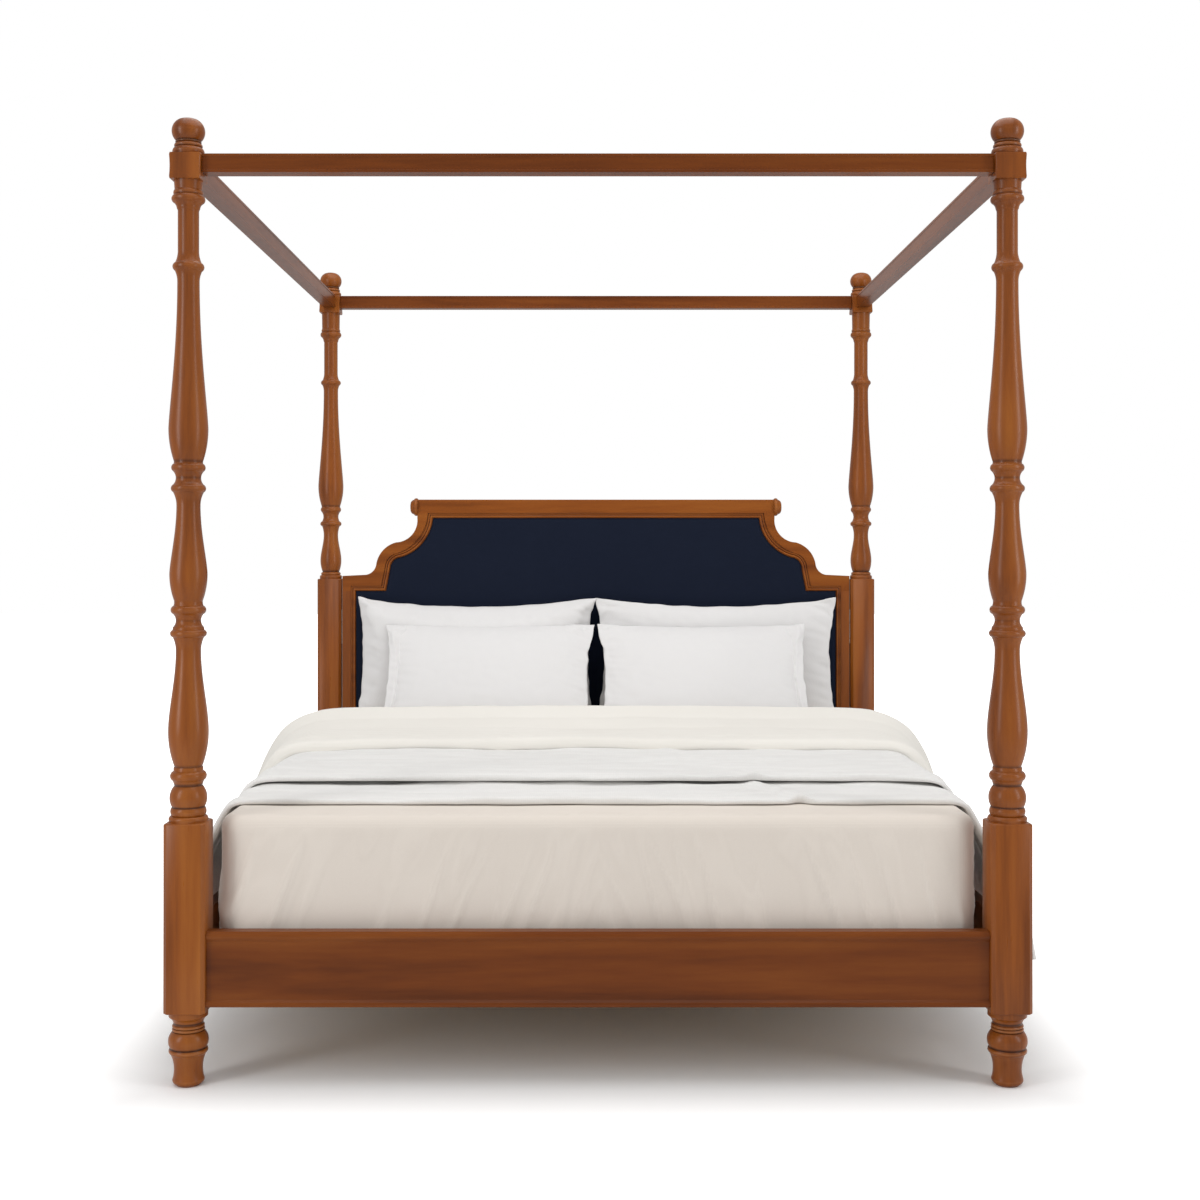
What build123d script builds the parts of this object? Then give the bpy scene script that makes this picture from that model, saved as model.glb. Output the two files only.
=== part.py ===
from build123d import *
import os
from math import atan2, cos, hypot, pi, sin, sqrt

# Four poster bed, king size, in millimetres.
# The origin is on the floor under the middle of the bed. Seen from the foot, +X is to the right,
# +Y runs from the foot to the head and +Z is up.

# Layout of the four posts
POST_SPACING_X = 2031.0        # between post axes, side to side
POST_SPACING_Y = 2090.0        # between post axes, foot to head
FOOT_BLOCK = 102.0             # square part of a foot post
HEAD_BLOCK = 90.0              # square part of a head post
TOP_BLOCK = 78.0               # square block that takes the canopy rails
CORNER_CUT = 9.0               # bevel on the corners of the square parts
BLOCK_BOTTOM = 185.0
FOOT_BLOCK_TOP = 652.0
HEAD_BLOCK_TOP = 1222.0
BASE_RING = 14.0               # turned ring between a block and the upper post
CANOPY_TOP = 2302.0            # top of the top blocks and of the canopy rails
TOP_BLOCK_HEIGHT = 64.0
TOP_EASING = 3.5               # bevel round the top of a square block
WAIST = 1.6                    # how far the sides of a top block are hollowed
FOOT_TURNING = 1572.0          # length that the foot post turning is drawn for
HEAD_TURNING = 1002.0          # length that the head post turning is drawn for
HEAD_BELLY = 47.3              # largest radius of a head post
ROUND_SIDES = 14               # flats round a turned piece
ROD_SIDES = 8                  # flats round a hidden screw
BELLY_STEPS = 2                # straight cuts below the belly of a vase
NECK_STEPS = 5                 # straight cuts above it

# Canopy rails
CANOPY_RAIL_HEIGHT = 46.0
CANOPY_RAIL_WIDTH = 44.0
CANOPY_FILLET = 6.0            # plain edge strips above and below the sunk field
CANOPY_FIELD = 1.5             # depth of the sunk field
TONGUE_LENGTH = 44.0           # steel tongue, half in the rail and half in the block
TONGUE_HEIGHT = 25.0
TONGUE_THICK = 4.0
FIT = 0.3                      # clearance round a piece that seats in a pocket

# Bed rails
RAIL_BOTTOM = 200.0
RAIL_TOP = 385.0
RAIL_THICK = 28.0
RAIL_SETBACK = 20.0            # rail face behind the face of the foot block
CAP_HEIGHT = 25.0
CAP_OVERHANG = 6.0
BASE_MOULDING_HEIGHT = 17.0
BASE_MOULDING_DEPTH = 9.0

# Hook plates at the rail ends
PLATE_HEIGHT = 130.0
PLATE_WIDTH = 16.0
PLATE_THICK = 4.0
HOOK_PITCH = 70.0
HOOK_HEIGHT = 24.0
HOOK_REACH = 12.0
HOOK_THICK = 4.0
HOOK_DROP = 6.0                # how far a hook's lip hangs behind the slotted plate

# Slats and centre support
LEDGER_WIDTH = 30.0
LEDGER_HEIGHT = 28.0
SLAT_COUNT = 13
SLAT_WIDTH = 75.0
SLAT_THICK = 18.0
SLAT_TOP = 248.0
LEDGER_END = 30.0              # ledger stops this far short of the posts
BEAM_WIDTH = 70.0
BEAM_HEIGHT = 34.0
BRACKET_THICK = 3.0
BRACKET_LENGTH = 45.0
CENTRE_LEG = 50.0
CENTRE_LEG_COUNT = 3
CENTRE_LEG_START = 720.0       # first leg behind the foot post axis
CENTRE_LEG_SPACING = 530.0
GLIDE_HEIGHT = 12.0
GLIDE_RADIUS = 18.0
GLIDE_STEM = 25.0
GLIDE_STEM_RADIUS = 5.0

# Headboard
HEADBOARD_FACE = 30.0          # front face ahead of the head post axis
HEADBOARD_THICK = 32.0
HEADBOARD_PLATES = (620.0, 1040.0)    # heights of its hook plates, which stand in the gap to the posts
HEADBOARD_BOTTOM = 430.0
BOTTOM_RAIL_HEIGHT = 90.0
STILE_WIDTH = 51.0
SHOULDER_TOP = 1233.0
SHOULDER_HEIGHT = 57.0
CREST_TOP = 1524.0
CREST_HEIGHT = 70.0
CREST_HALF = 681.0
COVE_TOP = 1452.0              # where the hollow below the crest begins
CREST_CORNER = 622.0           # inner corner of the crest, from the middle
SHOULDER_CORNER = 801.0        # inner corner of the shoulder, from the middle
MOULDING_WIDTH = 19.0          # inner moulding round the upholstery
MOULDING_DROP = 5.0            # step from the flat band down to the moulding
PANEL_THICK = 22.0
PANEL_RECESS = 6.0
BOSS_RADIUS = 34.0
BOSS_LENGTH = 28.0
BOSS_DROP = 28.0               # boss axis below the top of the crest
BOSS_PIN = 20.0
BOSS_PIN_RADIUS = 6.0

# Post screws and finial pins
SCREW_RADIUS = 6.0
SCREW_LENGTH = 110.0
PIN_RADIUS = 7.0
PIN_LENGTH = 32.0
PIN_FIT = 0.05                 # running clearance round a finial pin

# Foundation, mattress and bedding
FOUNDATION_HEIGHT = 127.0
FOUNDATION_INSET = 2.0         # its sides behind those of the mattress
MATTRESS_WIDTH = 1898.0
MATTRESS_LENGTH = 2032.0
MATTRESS_HEIGHT = 280.0
MATTRESS_START = 21.0          # foot face behind the foot post axis
MATTRESS_ROUND = 45.0
MATTRESS_EASING = 18.0
SOFT_GAP = 0.4                 # between soft pieces
COVERLET = 4.0
COVERLET_BOTTOM = 262.0
HIP_DROP = 25.0                # how far below the top of the bed a hanging cloth turns down
HIP_OUT = 34.0                 # how far beyond the mattress it does so
DRAPE_CLEAR = 43.0             # room between the side rails and a hanging cloth
HEM_FLARE = 28.0

# Pillows, each given by where its lower edge stands behind the foot post axis and how it leans
BACK_PILLOW_WIDTH = 900.0
BACK_PILLOW_HEIGHT = 508.0
BACK_PILLOW_THICK = 150.0
BACK_PILLOW_X = 454.0
BACK_PILLOW_START = 1954.0
BACK_PILLOW_LEAN = 8.0
FRONT_PILLOW_WIDTH = 780.0
FRONT_PILLOW_HEIGHT = 490.0
FRONT_PILLOW_THICK = 140.0
FRONT_PILLOW_X = 396.0
FRONT_PILLOW_START = 1663.0
FRONT_PILLOW_LEAN = 35.0
PILLOW_DIP = 36.0              # how far the top edge drops between the corners
PILLOW_LIFT = 6.0
PILLOW_WAIST = 20.0            # how far the short edges draw in


def girth(sides):
    """How far the corners of a turned piece with this many flats stand out, for the girth of a round one."""
    return sqrt(2 * pi / (sides * sin(2 * pi / sides)))


head_reach = max(HEAD_BLOCK / 2, HEAD_BELLY * girth(ROUND_SIDES))
foot_y = -(FOOT_BLOCK / 2 + POST_SPACING_Y + head_reach) / 2 + FOOT_BLOCK / 2
head_y = foot_y + POST_SPACING_Y
post_x = POST_SPACING_X / 2
SIDES = (("left", -1), ("right", 1))

os.makedirs("parts", exist_ok=True)


def save(name, *solids):
    """Write the solids of one node to its own file."""
    shape = Compound(children=list(solids)) if len(solids) > 1 else solids[0]
    export_step(shape, f"parts/{name}.step")


def box(x0, x1, y0, y1, z0, z1):
    """Rectangular piece between its lowest and highest corners."""
    middle = Pos((x0 + x1) / 2, (y0 + y1) / 2, (z0 + z1) / 2)
    return middle * Box(abs(x1 - x0), abs(y1 - y0), abs(z1 - z0))


def across(side, x0, x1):
    """A span measured out from the middle of the bed, on the side -1 or 1."""
    return sorted((side * x0, side * x1))


class Outline:
    """A chain of lines and arcs in the XZ plane, for pieces cut from a board."""

    def __init__(self, x, z):
        self.x = x
        self.z = z
        self.first = (x, 0, z)
        self.edges = []

    def line(self, x, z):
        self.edges.append(Line((self.x, 0, self.z), (x, 0, z)))
        self.x, self.z = x, z
        return self

    def arc(self, x, z, bulge):
        """Arc that stands bulge to the right of its chord, or to the left if bulge is negative."""
        chord = hypot(x - self.x, z - self.z)
        middle_x = (self.x + x) / 2 + bulge * (z - self.z) / chord
        middle_z = (self.z + z) / 2 - bulge * (x - self.x) / chord
        self.edges.append(ThreePointArc((self.x, 0, self.z), (middle_x, 0, middle_z), (x, 0, z)))
        self.x, self.z = x, z
        return self

    def closed(self):
        """Face inside the chain, closed by a straight line if its ends are apart."""
        edges = list(self.edges)
        if hypot(self.x - self.first[0], self.z - self.first[2]) > 1e-6:
            edges.append(Line((self.x, 0, self.z), self.first))
        return make_face(edges)


class Turning:
    """Outline of a turned piece, cut from its lower end upwards as radius against height.

    Round stretches are worked out as a few straight cuts, and the piece has ROUND_SIDES flats, so that
    four posts with all their rings stay light.
    """

    def __init__(self, radius, height):
        self.cuts = [(radius, height)]

    def cut(self, radius, rise):
        """Straight cut to a radius, this much further up."""
        self.cuts.append((radius, self.cuts[-1][1] + rise))
        return self

    def round(self, radius, rise, bulge, steps):
        """Round cut along an arc that stands out by bulge, or goes in if bulge is negative."""
        start, low = self.cuts[-1]
        chord = hypot(radius - start, rise)
        sweep = 4 * atan2(2 * abs(bulge), chord)
        arc_radius = chord / 2 / sin(sweep / 2)
        for step in range(1, steps + 1):
            angle = sweep * (step / steps - 0.5)
            along = 0.5 + arc_radius * sin(angle) / chord
            out = (cos(angle) - cos(sweep / 2)) * arc_radius * (1 if bulge > 0 else -1)
            self.cuts.append((start + along * (radius - start) + out * rise / chord,
                              low + along * rise - out * (radius - start) / chord))
        return self

    def ring(self, rise, crown, end, steps=3):
        """Raised ring from the present radius over its crown to the end radius."""
        start = self.cuts[-1][0]
        return self.round(end, rise, crown - (start + end) / 2, steps)

    def vase(self, belly_rise, belly, neck_rise, neck, slim):
        """Swells to its belly and draws in to a neck; a slim of less than 1 thins it sooner."""
        start, low = self.cuts[-1]
        arc_radius = ((belly - start) ** 2 + belly_rise ** 2) / (2 * (belly - start))
        for step in range(1, BELLY_STEPS + 1):
            down = belly_rise * (1 - step / BELLY_STEPS)
            inward = arc_radius - sqrt(arc_radius ** 2 - down ** 2)
            self.cuts.append((belly - inward, low + belly_rise - down))
        for step in range(1, NECK_STEPS + 1):
            t = step / NECK_STEPS
            u = t ** slim
            left = 1 - u * u * (3 - 2 * u)
            self.cuts.append((neck + (belly - neck) * left, low + belly_rise + neck_rise * t))
        return self

    def solid(self):
        return turned(self.cuts, ROUND_SIDES)


def turned(cuts, sides):
    """Solid with this many flats about the Z axis."""
    vertex = girth(sides)
    angles = [2 * pi * (side + 0.5) / sides for side in range(sides)]
    rings = [[Vector(vertex * r * cos(a), vertex * r * sin(a), z) for a in angles] for r, z in cuts]
    faces = [Face(Wire.make_polygon(rings[0])), Face(Wire.make_polygon(rings[-1]))]
    for low, high in zip(rings, rings[1:]):
        for here in range(sides):
            there = (here + 1) % sides
            faces.append(Face(Wire.make_polygon([low[here], low[there], high[there], high[here]])))
    return Solid(Shell(faces))


def patch(*points):
    """Flat face with these corners."""
    return Face(Wire.make_polygon([Vector(*point) for point in points]))


def flat_end(ring):
    return [patch(*ring)]


def lens_end(ring):
    """End of a lens shaped ring, whose first and middle points are the tips of the lens."""
    half = len(ring) // 2
    faces = [patch(ring[0], ring[1], ring[-1]), patch(ring[half - 1], ring[half], ring[half + 1])]
    for here in range(1, half - 1):
        faces.append(patch(ring[here], ring[here + 1], ring[-here - 1], ring[-here]))
    return faces


def skin(rings, end):
    """Solid through rings of points, with triangles between them and both ends closed."""
    faces = end(rings[0]) + end(rings[-1])
    for ring, following in zip(rings, rings[1:]):
        for here in range(len(ring)):
            there = (here + 1) % len(ring)
            faces.append(patch(ring[here], ring[there], following[there]))
            faces.append(patch(ring[here], following[there], following[here]))
    return Solid(Shell(faces))


def rod(radius, bottom, top, sides=ROD_SIDES):
    """Straight pin, screw or bore."""
    return turned([(radius, bottom), (radius, top)], sides)


# Posts

def foot_post_turning(start, end):
    """Upper part of a foot post, from its joint to the top block: three vases between rings.

    The drawing is for a post of FOOT_TURNING length; on another length it stretches.
    """
    k = (end - start) / FOOT_TURNING
    post = Turning(40, start)
    post.ring(22 * k, 44, 40)
    post.round(34, 53 * k, 8.5, 3)
    post.cut(38, 12 * k)
    post.ring(24 * k, 44.5, 36)
    post.cut(36, 8 * k).cut(34, 3 * k)
    post.vase(86 * k, 49.2, 200 * k, 30.5, 0.92)
    post.cut(38, 34 * k)
    post.ring(18 * k, 44.5, 38.5)
    post.cut(37.5, 7 * k)
    post.round(38, 33 * k, -7.2, 3)
    post.ring(20 * k, 42.8, 36)
    post.cut(34.5, 5 * k).cut(34.5, 7 * k)
    post.vase(66 * k, 46, 171 * k, 29, 0.78)
    post.cut(37, 32 * k)
    post.ring(19 * k, 42.5, 37)
    post.round(37, 33 * k, -6.5, 3)
    post.ring(19 * k, 41.5, 35.5)
    post.cut(35, 5 * k)
    post.vase(82 * k, 48.2, 365 * k, 27, 0.68)
    post.cut(33, 26 * k)
    post.ring(20 * k, 38.5, 32)
    post.cut(27, 20 * k).cut(25.7, 6 * k).cut(25.7, 99 * k).cut(28, 9 * k).cut(35, 14 * k)
    post.ring(19 * k, 41, 35)
    post.ring(13 * k, 36.5, 33.5, 2)
    post.cuts.append((35, end))
    return post


def head_post_turning(start, end):
    """Upper part of a head post: two vases between rings."""
    k = (end - start) / HEAD_TURNING
    post = Turning(35, start)
    post.ring(12 * k, 37, 31, 2)
    post.vase(44 * k, 39.5, 97 * k, 27, 1)
    post.cut(33, 34 * k)
    post.ring(18 * k, 40, 34)
    post.round(34, 36 * k, -5.7, 3)
    post.ring(18 * k, 38.5, 35)
    post.cut(35, 5 * k)
    post.vase(76 * k, HEAD_BELLY, 361 * k, 27, 0.68)
    post.cut(32, 26 * k)
    post.ring(19 * k, 37.5, 31)
    post.cut(26.5, 20 * k).cut(25.5, 6 * k).cut(25.5, 115 * k).cut(28, 9 * k).cut(34, 14 * k)
    post.ring(20 * k, 39.5, 34)
    post.ring(12 * k, 35.5, 33, 2)
    post.cuts.append((34, end))
    return post


def turned_foot(half):
    """Foot from the floor up to a block of this half width."""
    r = half / 51
    foot = Turning(31 * r, 0)
    foot.round(39 * r, 12, 2.5, 2)
    foot.round(43.5 * r, 66, -6, 3)
    foot.ring(13, 48 * r, 45.5 * r)
    foot.round(38 * r, 43, 8, 4)
    foot.ring(8, 40 * r, 36.5 * r, 2)
    foot.ring(8, 39.5 * r, 36 * r, 2)
    foot.round(48 * r, 20, -3, 2)
    foot.cut(48 * r, BLOCK_BOTTOM - foot.cuts[-1][1])
    return foot.solid()


def square_block(size, bottom, top):
    """Square length of a post with bevelled corners and an eased top."""
    block = extrude(Pos(0, 0, bottom) * Rectangle(size, size), top - bottom)
    block = chamfer(block.edges().filter_by(Axis.Z), CORNER_CUT)
    return chamfer(block.faces().sort_by(Axis.Z)[-1].edges(), TOP_EASING)


def waisted_block(size, bottom, height):
    """Top block whose four sides are slightly hollow."""
    half = size / 2
    side = Outline(-half, bottom)
    side.line(half, bottom).arc(half, bottom + height, -WAIST).line(-half, bottom + height)
    side.arc(-half, bottom, -WAIST)
    slab = extrude(side.closed(), half, both=True)
    return slab & Rot(0, 0, 90) * slab


def post_base(size, top):
    """Foot, square block and the ring on top of it, bored for the joint screw."""
    joint = top + BASE_RING
    ring = Turning(size / 2 - TOP_EASING, top - 1).cut(size / 2 - TOP_EASING, 1 + BASE_RING / 4)
    ring.round(size / 2 - 2 * TOP_EASING, BASE_RING * 3 / 4, 2, 2)
    base = turned_foot(size / 2) + square_block(size, BLOCK_BOTTOM, top) + ring.solid()
    return base - rod(SCREW_RADIUS, joint - SCREW_LENGTH / 2, joint + 1)


def tongue_pocket():
    """Pocket in the +X side of a top block for the tongue of a canopy rail."""
    depth = TONGUE_LENGTH / 2
    middle = CANOPY_TOP - CANOPY_RAIL_HEIGHT / 2
    half_height = TONGUE_HEIGHT / 2 + FIT
    half_thick = TONGUE_THICK / 2 + FIT
    return box(TOP_BLOCK / 2 - depth - FIT, TOP_BLOCK, -half_thick, half_thick,
               middle - half_height, middle + half_height)


def post_upper(turning, joint, turns):
    """Turned post with its top block, and tongue pockets on the two sides that take rails."""
    bottom = CANOPY_TOP - TOP_BLOCK_HEIGHT
    post = turning.solid() + waisted_block(TOP_BLOCK, bottom, TOP_BLOCK_HEIGHT)
    post -= rod(SCREW_RADIUS, joint - 1, joint + SCREW_LENGTH / 2)
    post -= rod(PIN_RADIUS + PIN_FIT, CANOPY_TOP - PIN_LENGTH - 1, CANOPY_TOP + 1, ROUND_SIDES)
    for turn in turns:
        post -= Rot(0, 0, turn) * tongue_pocket()
    return post


def finial():
    """Ball on two rings, with a round pin that drops into the top block."""
    shape = Turning(PIN_RADIUS, CANOPY_TOP - PIN_LENGTH).cut(PIN_RADIUS, PIN_LENGTH)
    shape.cut(37, 0)
    shape.round(33.5, 18, 3.5, 3)
    shape.ring(10, 34.5, 31, 2)
    shape.cut(30, 8)
    shape.round(24, 51, 13.5, 6)
    shape.round(3, 4.5, 1, 2)
    return shape.solid()


foot_joint = FOOT_BLOCK_TOP + BASE_RING
head_joint = HEAD_BLOCK_TOP + BASE_RING
upper_end = CANOPY_TOP - TOP_BLOCK_HEIGHT
side_start = foot_y + FOOT_BLOCK / 2                         # where the side rails meet the posts
side_end = head_y - HEAD_BLOCK / 2
side_length = side_end - side_start
foot_front = foot_y - FOOT_BLOCK / 2 + RAIL_SETBACK          # outer face of the foot rail
side_outer = post_x + FOOT_BLOCK / 2 - RAIL_SETBACK          # outer face of a side rail
foot_inner = foot_front + RAIL_THICK
side_inner = side_outer - RAIL_THICK


# Hook plates: each rail end carries a plate whose hooks drop into a slotted plate let into the post.
# All are drawn about the point where the rail end meets the post, with +Y pointing into the post.

def hook_heights():
    return [-HOOK_PITCH / 2 - HOOK_HEIGHT / 2, HOOK_PITCH / 2 - HOOK_HEIGHT / 2]


def hook_plate():
    half = PLATE_HEIGHT / 2
    plate = box(-PLATE_WIDTH / 2, PLATE_WIDTH / 2, -PLATE_THICK, 0, -half, half)
    for low in hook_heights():
        seat = low + HOOK_DROP
        behind = PLATE_THICK + FIT
        shape = Polyline((0, -1, seat), (0, behind, seat), (0, behind, low), (0, HOOK_REACH, low),
                         (0, HOOK_REACH, low + HOOK_HEIGHT), (0, -1, low + HOOK_HEIGHT), close=True)
        plate += extrude(make_face(shape.edges()), HOOK_THICK / 2, both=True)
    return plate


def slotted_plate():
    half = PLATE_HEIGHT / 2
    plate = box(-PLATE_WIDTH / 2, PLATE_WIDTH / 2, 0, PLATE_THICK, -half, half)
    for low in hook_heights():
        seat = low + HOOK_DROP
        plate -= box(-HOOK_THICK / 2 - FIT, HOOK_THICK / 2 + FIT, -1, PLATE_THICK + 1,
                     seat, seat + HOOK_HEIGHT + 2)
    return plate


def post_pocket():
    """Recess for the slotted plate, with a deeper groove behind it for the hooks."""
    half = PLATE_HEIGHT / 2
    plate = box(-PLATE_WIDTH / 2, PLATE_WIDTH / 2, -1, PLATE_THICK, -half, half)
    groove = box(-HOOK_THICK / 2 - 1, HOOK_THICK / 2 + 1, 0, HOOK_REACH + 2,
                 hook_heights()[0] - 2, hook_heights()[1] + HOOK_DROP + HOOK_HEIGHT + 3)
    return plate + groove


def rail_pocket():
    half = PLATE_HEIGHT / 2
    return box(-PLATE_WIDTH / 2, PLATE_WIDTH / 2, -PLATE_THICK, 1, -half, half)


board_top = RAIL_TOP - CAP_HEIGHT
plate_z = (RAIL_BOTTOM + board_top) / 2
side_middle = side_outer - RAIL_THICK / 2
foot_middle = foot_front + RAIL_THICK / 2
stile_middle = head_y - HEADBOARD_FACE + HEADBOARD_THICK / 2
rail_joints = {}
headboard_joints = []
for name, side in SIDES:
    turn = Rot(0, 0, -90 * side)
    at_foot_post = side * (post_x - FOOT_BLOCK / 2)
    at_head_post = side * (post_x - HEAD_BLOCK / 2)
    rail_joints[f"side_foot_{name}"] = Pos(side * side_middle, side_start, plate_z) * Rot(0, 0, 180)
    rail_joints[f"side_head_{name}"] = Pos(side * side_middle, side_end, plate_z)
    rail_joints[f"foot_{name}"] = Pos(at_foot_post, foot_middle, plate_z) * turn
    rail_joints[f"head_{name}"] = Pos(at_head_post, head_y, plate_z) * turn
    headboard_joints += [Pos(at_head_post, stile_middle, height) * turn for height in HEADBOARD_PLATES]
all_joints = list(rail_joints.values()) + headboard_joints

foot_base = post_base(FOOT_BLOCK, FOOT_BLOCK_TOP)
head_base = post_base(HEAD_BLOCK, HEAD_BLOCK_TOP)
foot_upper = post_upper(foot_post_turning(foot_joint, upper_end), foot_joint, (0, 90))
head_upper = post_upper(head_post_turning(head_joint, upper_end), head_joint, (0, -90))
bed_finial = finial()
screws = []
for name, side in SIDES:
    foot_place = Pos(side * post_x, foot_y, 0)
    head_place = Pos(side * post_x, head_y, 0)
    foot_cuts = [rail_joints[f"side_foot_{name}"], rail_joints[f"foot_{name}"]]
    head_cuts = [rail_joints[f"side_head_{name}"], rail_joints[f"head_{name}"]]
    head_cuts += [place for place in headboard_joints if place.position.X * side > 0]
    base = foot_place * foot_base
    for place in foot_cuts:
        base -= place * post_pocket()
    save(f"foot_post_base_{name}", base)
    base = head_place * head_base
    for place in head_cuts:
        base -= place * post_pocket()
    save(f"head_post_base_{name}", base)
    flip = Plane.YZ if side > 0 else None
    upper = mirror(foot_upper, about=flip) if flip else foot_upper
    save(f"foot_post_upper_{name}", foot_place * upper)
    upper = mirror(head_upper, about=flip) if flip else head_upper
    save(f"head_post_upper_{name}", head_place * upper)
    for end, place, joint in (("foot", foot_place, foot_joint), ("head", head_place, head_joint)):
        save(f"finial_{end}_{name}", place * bed_finial)
        screws.append(place * rod(SCREW_RADIUS, joint - SCREW_LENGTH / 2, joint + SCREW_LENGTH / 2))
save("post_joint_screws", *screws)
save("rail_hook_plates", *[place * hook_plate() for place in all_joints])
save("post_slot_plates", *[place * slotted_plate() for place in all_joints])


# Bed rails: a board with a cap moulding on top and a base moulding on its face.
# Drawn along Y with the outer face at X = 0 and +X pointing out of the bed.

def cap_moulding(length):
    """Cap with a rounded nose, over both faces of the board."""
    back = -RAIL_THICK - CAP_OVERHANG / 2
    cap = Outline(back, board_top)
    cap.line(0, board_top).line(CAP_OVERHANG / 2, board_top + CAP_HEIGHT / 5)
    cap.arc(CAP_OVERHANG / 2, RAIL_TOP - CAP_HEIGHT / 6, CAP_OVERHANG / 2)
    cap.line(0, RAIL_TOP).line(back, RAIL_TOP)
    return extrude(cap.closed(), length / 2, both=True)


def base_moulding(length):
    """Rounded bead along the lower edge of the face."""
    top = RAIL_BOTTOM + BASE_MOULDING_HEIGHT
    bead = Outline(0, RAIL_BOTTOM)
    bead.line(BASE_MOULDING_DEPTH - 3, RAIL_BOTTOM)
    bead.arc(BASE_MOULDING_DEPTH - 4, top - 4, 3)
    bead.line(0, top)
    return extrude(bead.closed(), length / 2, both=True)


def board(length):
    return box(-RAIL_THICK, 0, -length / 2, length / 2, RAIL_BOTTOM, board_top)


foot_length = POST_SPACING_X - FOOT_BLOCK
head_length = POST_SPACING_X - HEAD_BLOCK
foot_at = Pos(0, foot_front, 0) * Rot(0, 0, -90)
foot_board = foot_at * board(foot_length)
for name, side in SIDES:
    foot_board -= rail_joints[f"foot_{name}"] * rail_pocket()
save("foot_rail_board", foot_board)
save("foot_rail_cap", foot_at * cap_moulding(foot_length))
save("foot_rail_base_moulding", foot_at * base_moulding(foot_length))
head_rail = box(-head_length / 2, head_length / 2, head_y - RAIL_THICK / 2, head_y + RAIL_THICK / 2,
                RAIL_BOTTOM, board_top)
for name, side in SIDES:
    head_rail -= rail_joints[f"head_{name}"] * rail_pocket()
save("head_rail", head_rail)
for name, side in SIDES:
    place = Pos(side * side_outer, (side_start + side_end) / 2, 0) * Rot(0, 0, 0 if side > 0 else 180)
    side_board = place * board(side_length)
    side_board -= rail_joints[f"side_foot_{name}"] * rail_pocket()
    side_board -= rail_joints[f"side_head_{name}"] * rail_pocket()
    save(f"side_rail_{name}", side_board)
    save(f"side_rail_cap_{name}", place * cap_moulding(side_length))
    save(f"side_rail_base_moulding_{name}", place * base_moulding(side_length))


# Slats on their ledgers, centre beam and its legs

ledger_top = SLAT_TOP - SLAT_THICK
ledger_start = side_start + LEDGER_END
ledger_end = side_end - LEDGER_END
for name, side in SIDES:
    x0, x1 = across(side, side_inner - LEDGER_WIDTH, side_inner)
    save(f"slat_ledger_{name}", box(x0, x1, ledger_start, ledger_end, ledger_top - LEDGER_HEIGHT, ledger_top))

pitch = (ledger_end - ledger_start - SLAT_WIDTH) / (SLAT_COUNT - 1)
slat_half = side_inner - FIT
slats = []
for number in range(SLAT_COUNT):
    y0 = ledger_start + number * pitch
    slats.append(box(-slat_half, slat_half, y0, y0 + SLAT_WIDTH, ledger_top, SLAT_TOP))
save("slats", *slats)

head_face = head_y - RAIL_THICK / 2
beam_bottom = ledger_top - BEAM_HEIGHT
beam_half = BEAM_WIDTH / 2
beam_start = foot_inner + BRACKET_THICK
beam_end = head_face - BRACKET_THICK
save("centre_beam", box(-beam_half, beam_half, beam_start, beam_end, beam_bottom, ledger_top))


def beam_bracket():
    """Open steel shoe for one end of the beam, drawn with its back plate at Y = 0."""
    inside = beam_half + FIT
    outside = inside + BRACKET_THICK
    shoe = box(-outside, outside, 0, BRACKET_LENGTH, beam_bottom - BRACKET_THICK, ledger_top - 2)
    return shoe - box(-inside, inside, BRACKET_THICK, BRACKET_LENGTH + 1, beam_bottom, ledger_top)


foot_bracket = Pos(0, foot_inner, 0) * beam_bracket()
head_bracket = Pos(0, head_face, 0) * Rot(0, 0, 180) * beam_bracket()
save("beam_brackets", foot_bracket, head_bracket)

legs = []
glides = []
for number in range(CENTRE_LEG_COUNT):
    place = Pos(0, foot_y + CENTRE_LEG_START + number * CENTRE_LEG_SPACING, 0)
    half = CENTRE_LEG / 2
    leg = box(-half, half, -half, half, GLIDE_HEIGHT, beam_bottom)
    legs.append(place * (leg - rod(GLIDE_STEM_RADIUS, GLIDE_HEIGHT - 1, GLIDE_HEIGHT + GLIDE_STEM)))
    glide = Turning(GLIDE_RADIUS - 2, 0).cut(GLIDE_RADIUS, 2).cut(GLIDE_RADIUS, GLIDE_HEIGHT - 2)
    glide.cut(GLIDE_STEM_RADIUS, 0).cut(GLIDE_STEM_RADIUS, GLIDE_STEM)
    glides.append(place * turned(glide.cuts, ROD_SIDES))
save("centre_legs", *legs)
save("centre_leg_glides", *glides)


# Headboard

stile_outer = post_x - HEAD_BLOCK / 2 - PLATE_THICK
stile_inner = stile_outer - STILE_WIDTH
shoulder_inner = SHOULDER_TOP - SHOULDER_HEIGHT
crest_inner = CREST_TOP - CREST_HEIGHT
headboard_face = head_y - HEADBOARD_FACE


def full_width(half):
    """Face inside an outline that is drawn for the right half and repeated on the left."""
    right = half.closed()
    return right + mirror(right, about=Plane.YZ)


def outer_half():
    edge = Outline(0, CREST_TOP).line(CREST_HALF, CREST_TOP).line(CREST_HALF, COVE_TOP)
    edge.arc(762, 1361, 26).arc(838, 1275, -17.5).arc(883, SHOULDER_TOP + 4, 10.6)
    edge.line(stile_outer, SHOULDER_TOP).line(stile_outer, HEADBOARD_BOTTOM).line(0, HEADBOARD_BOTTOM)
    return full_width(edge)


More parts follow.
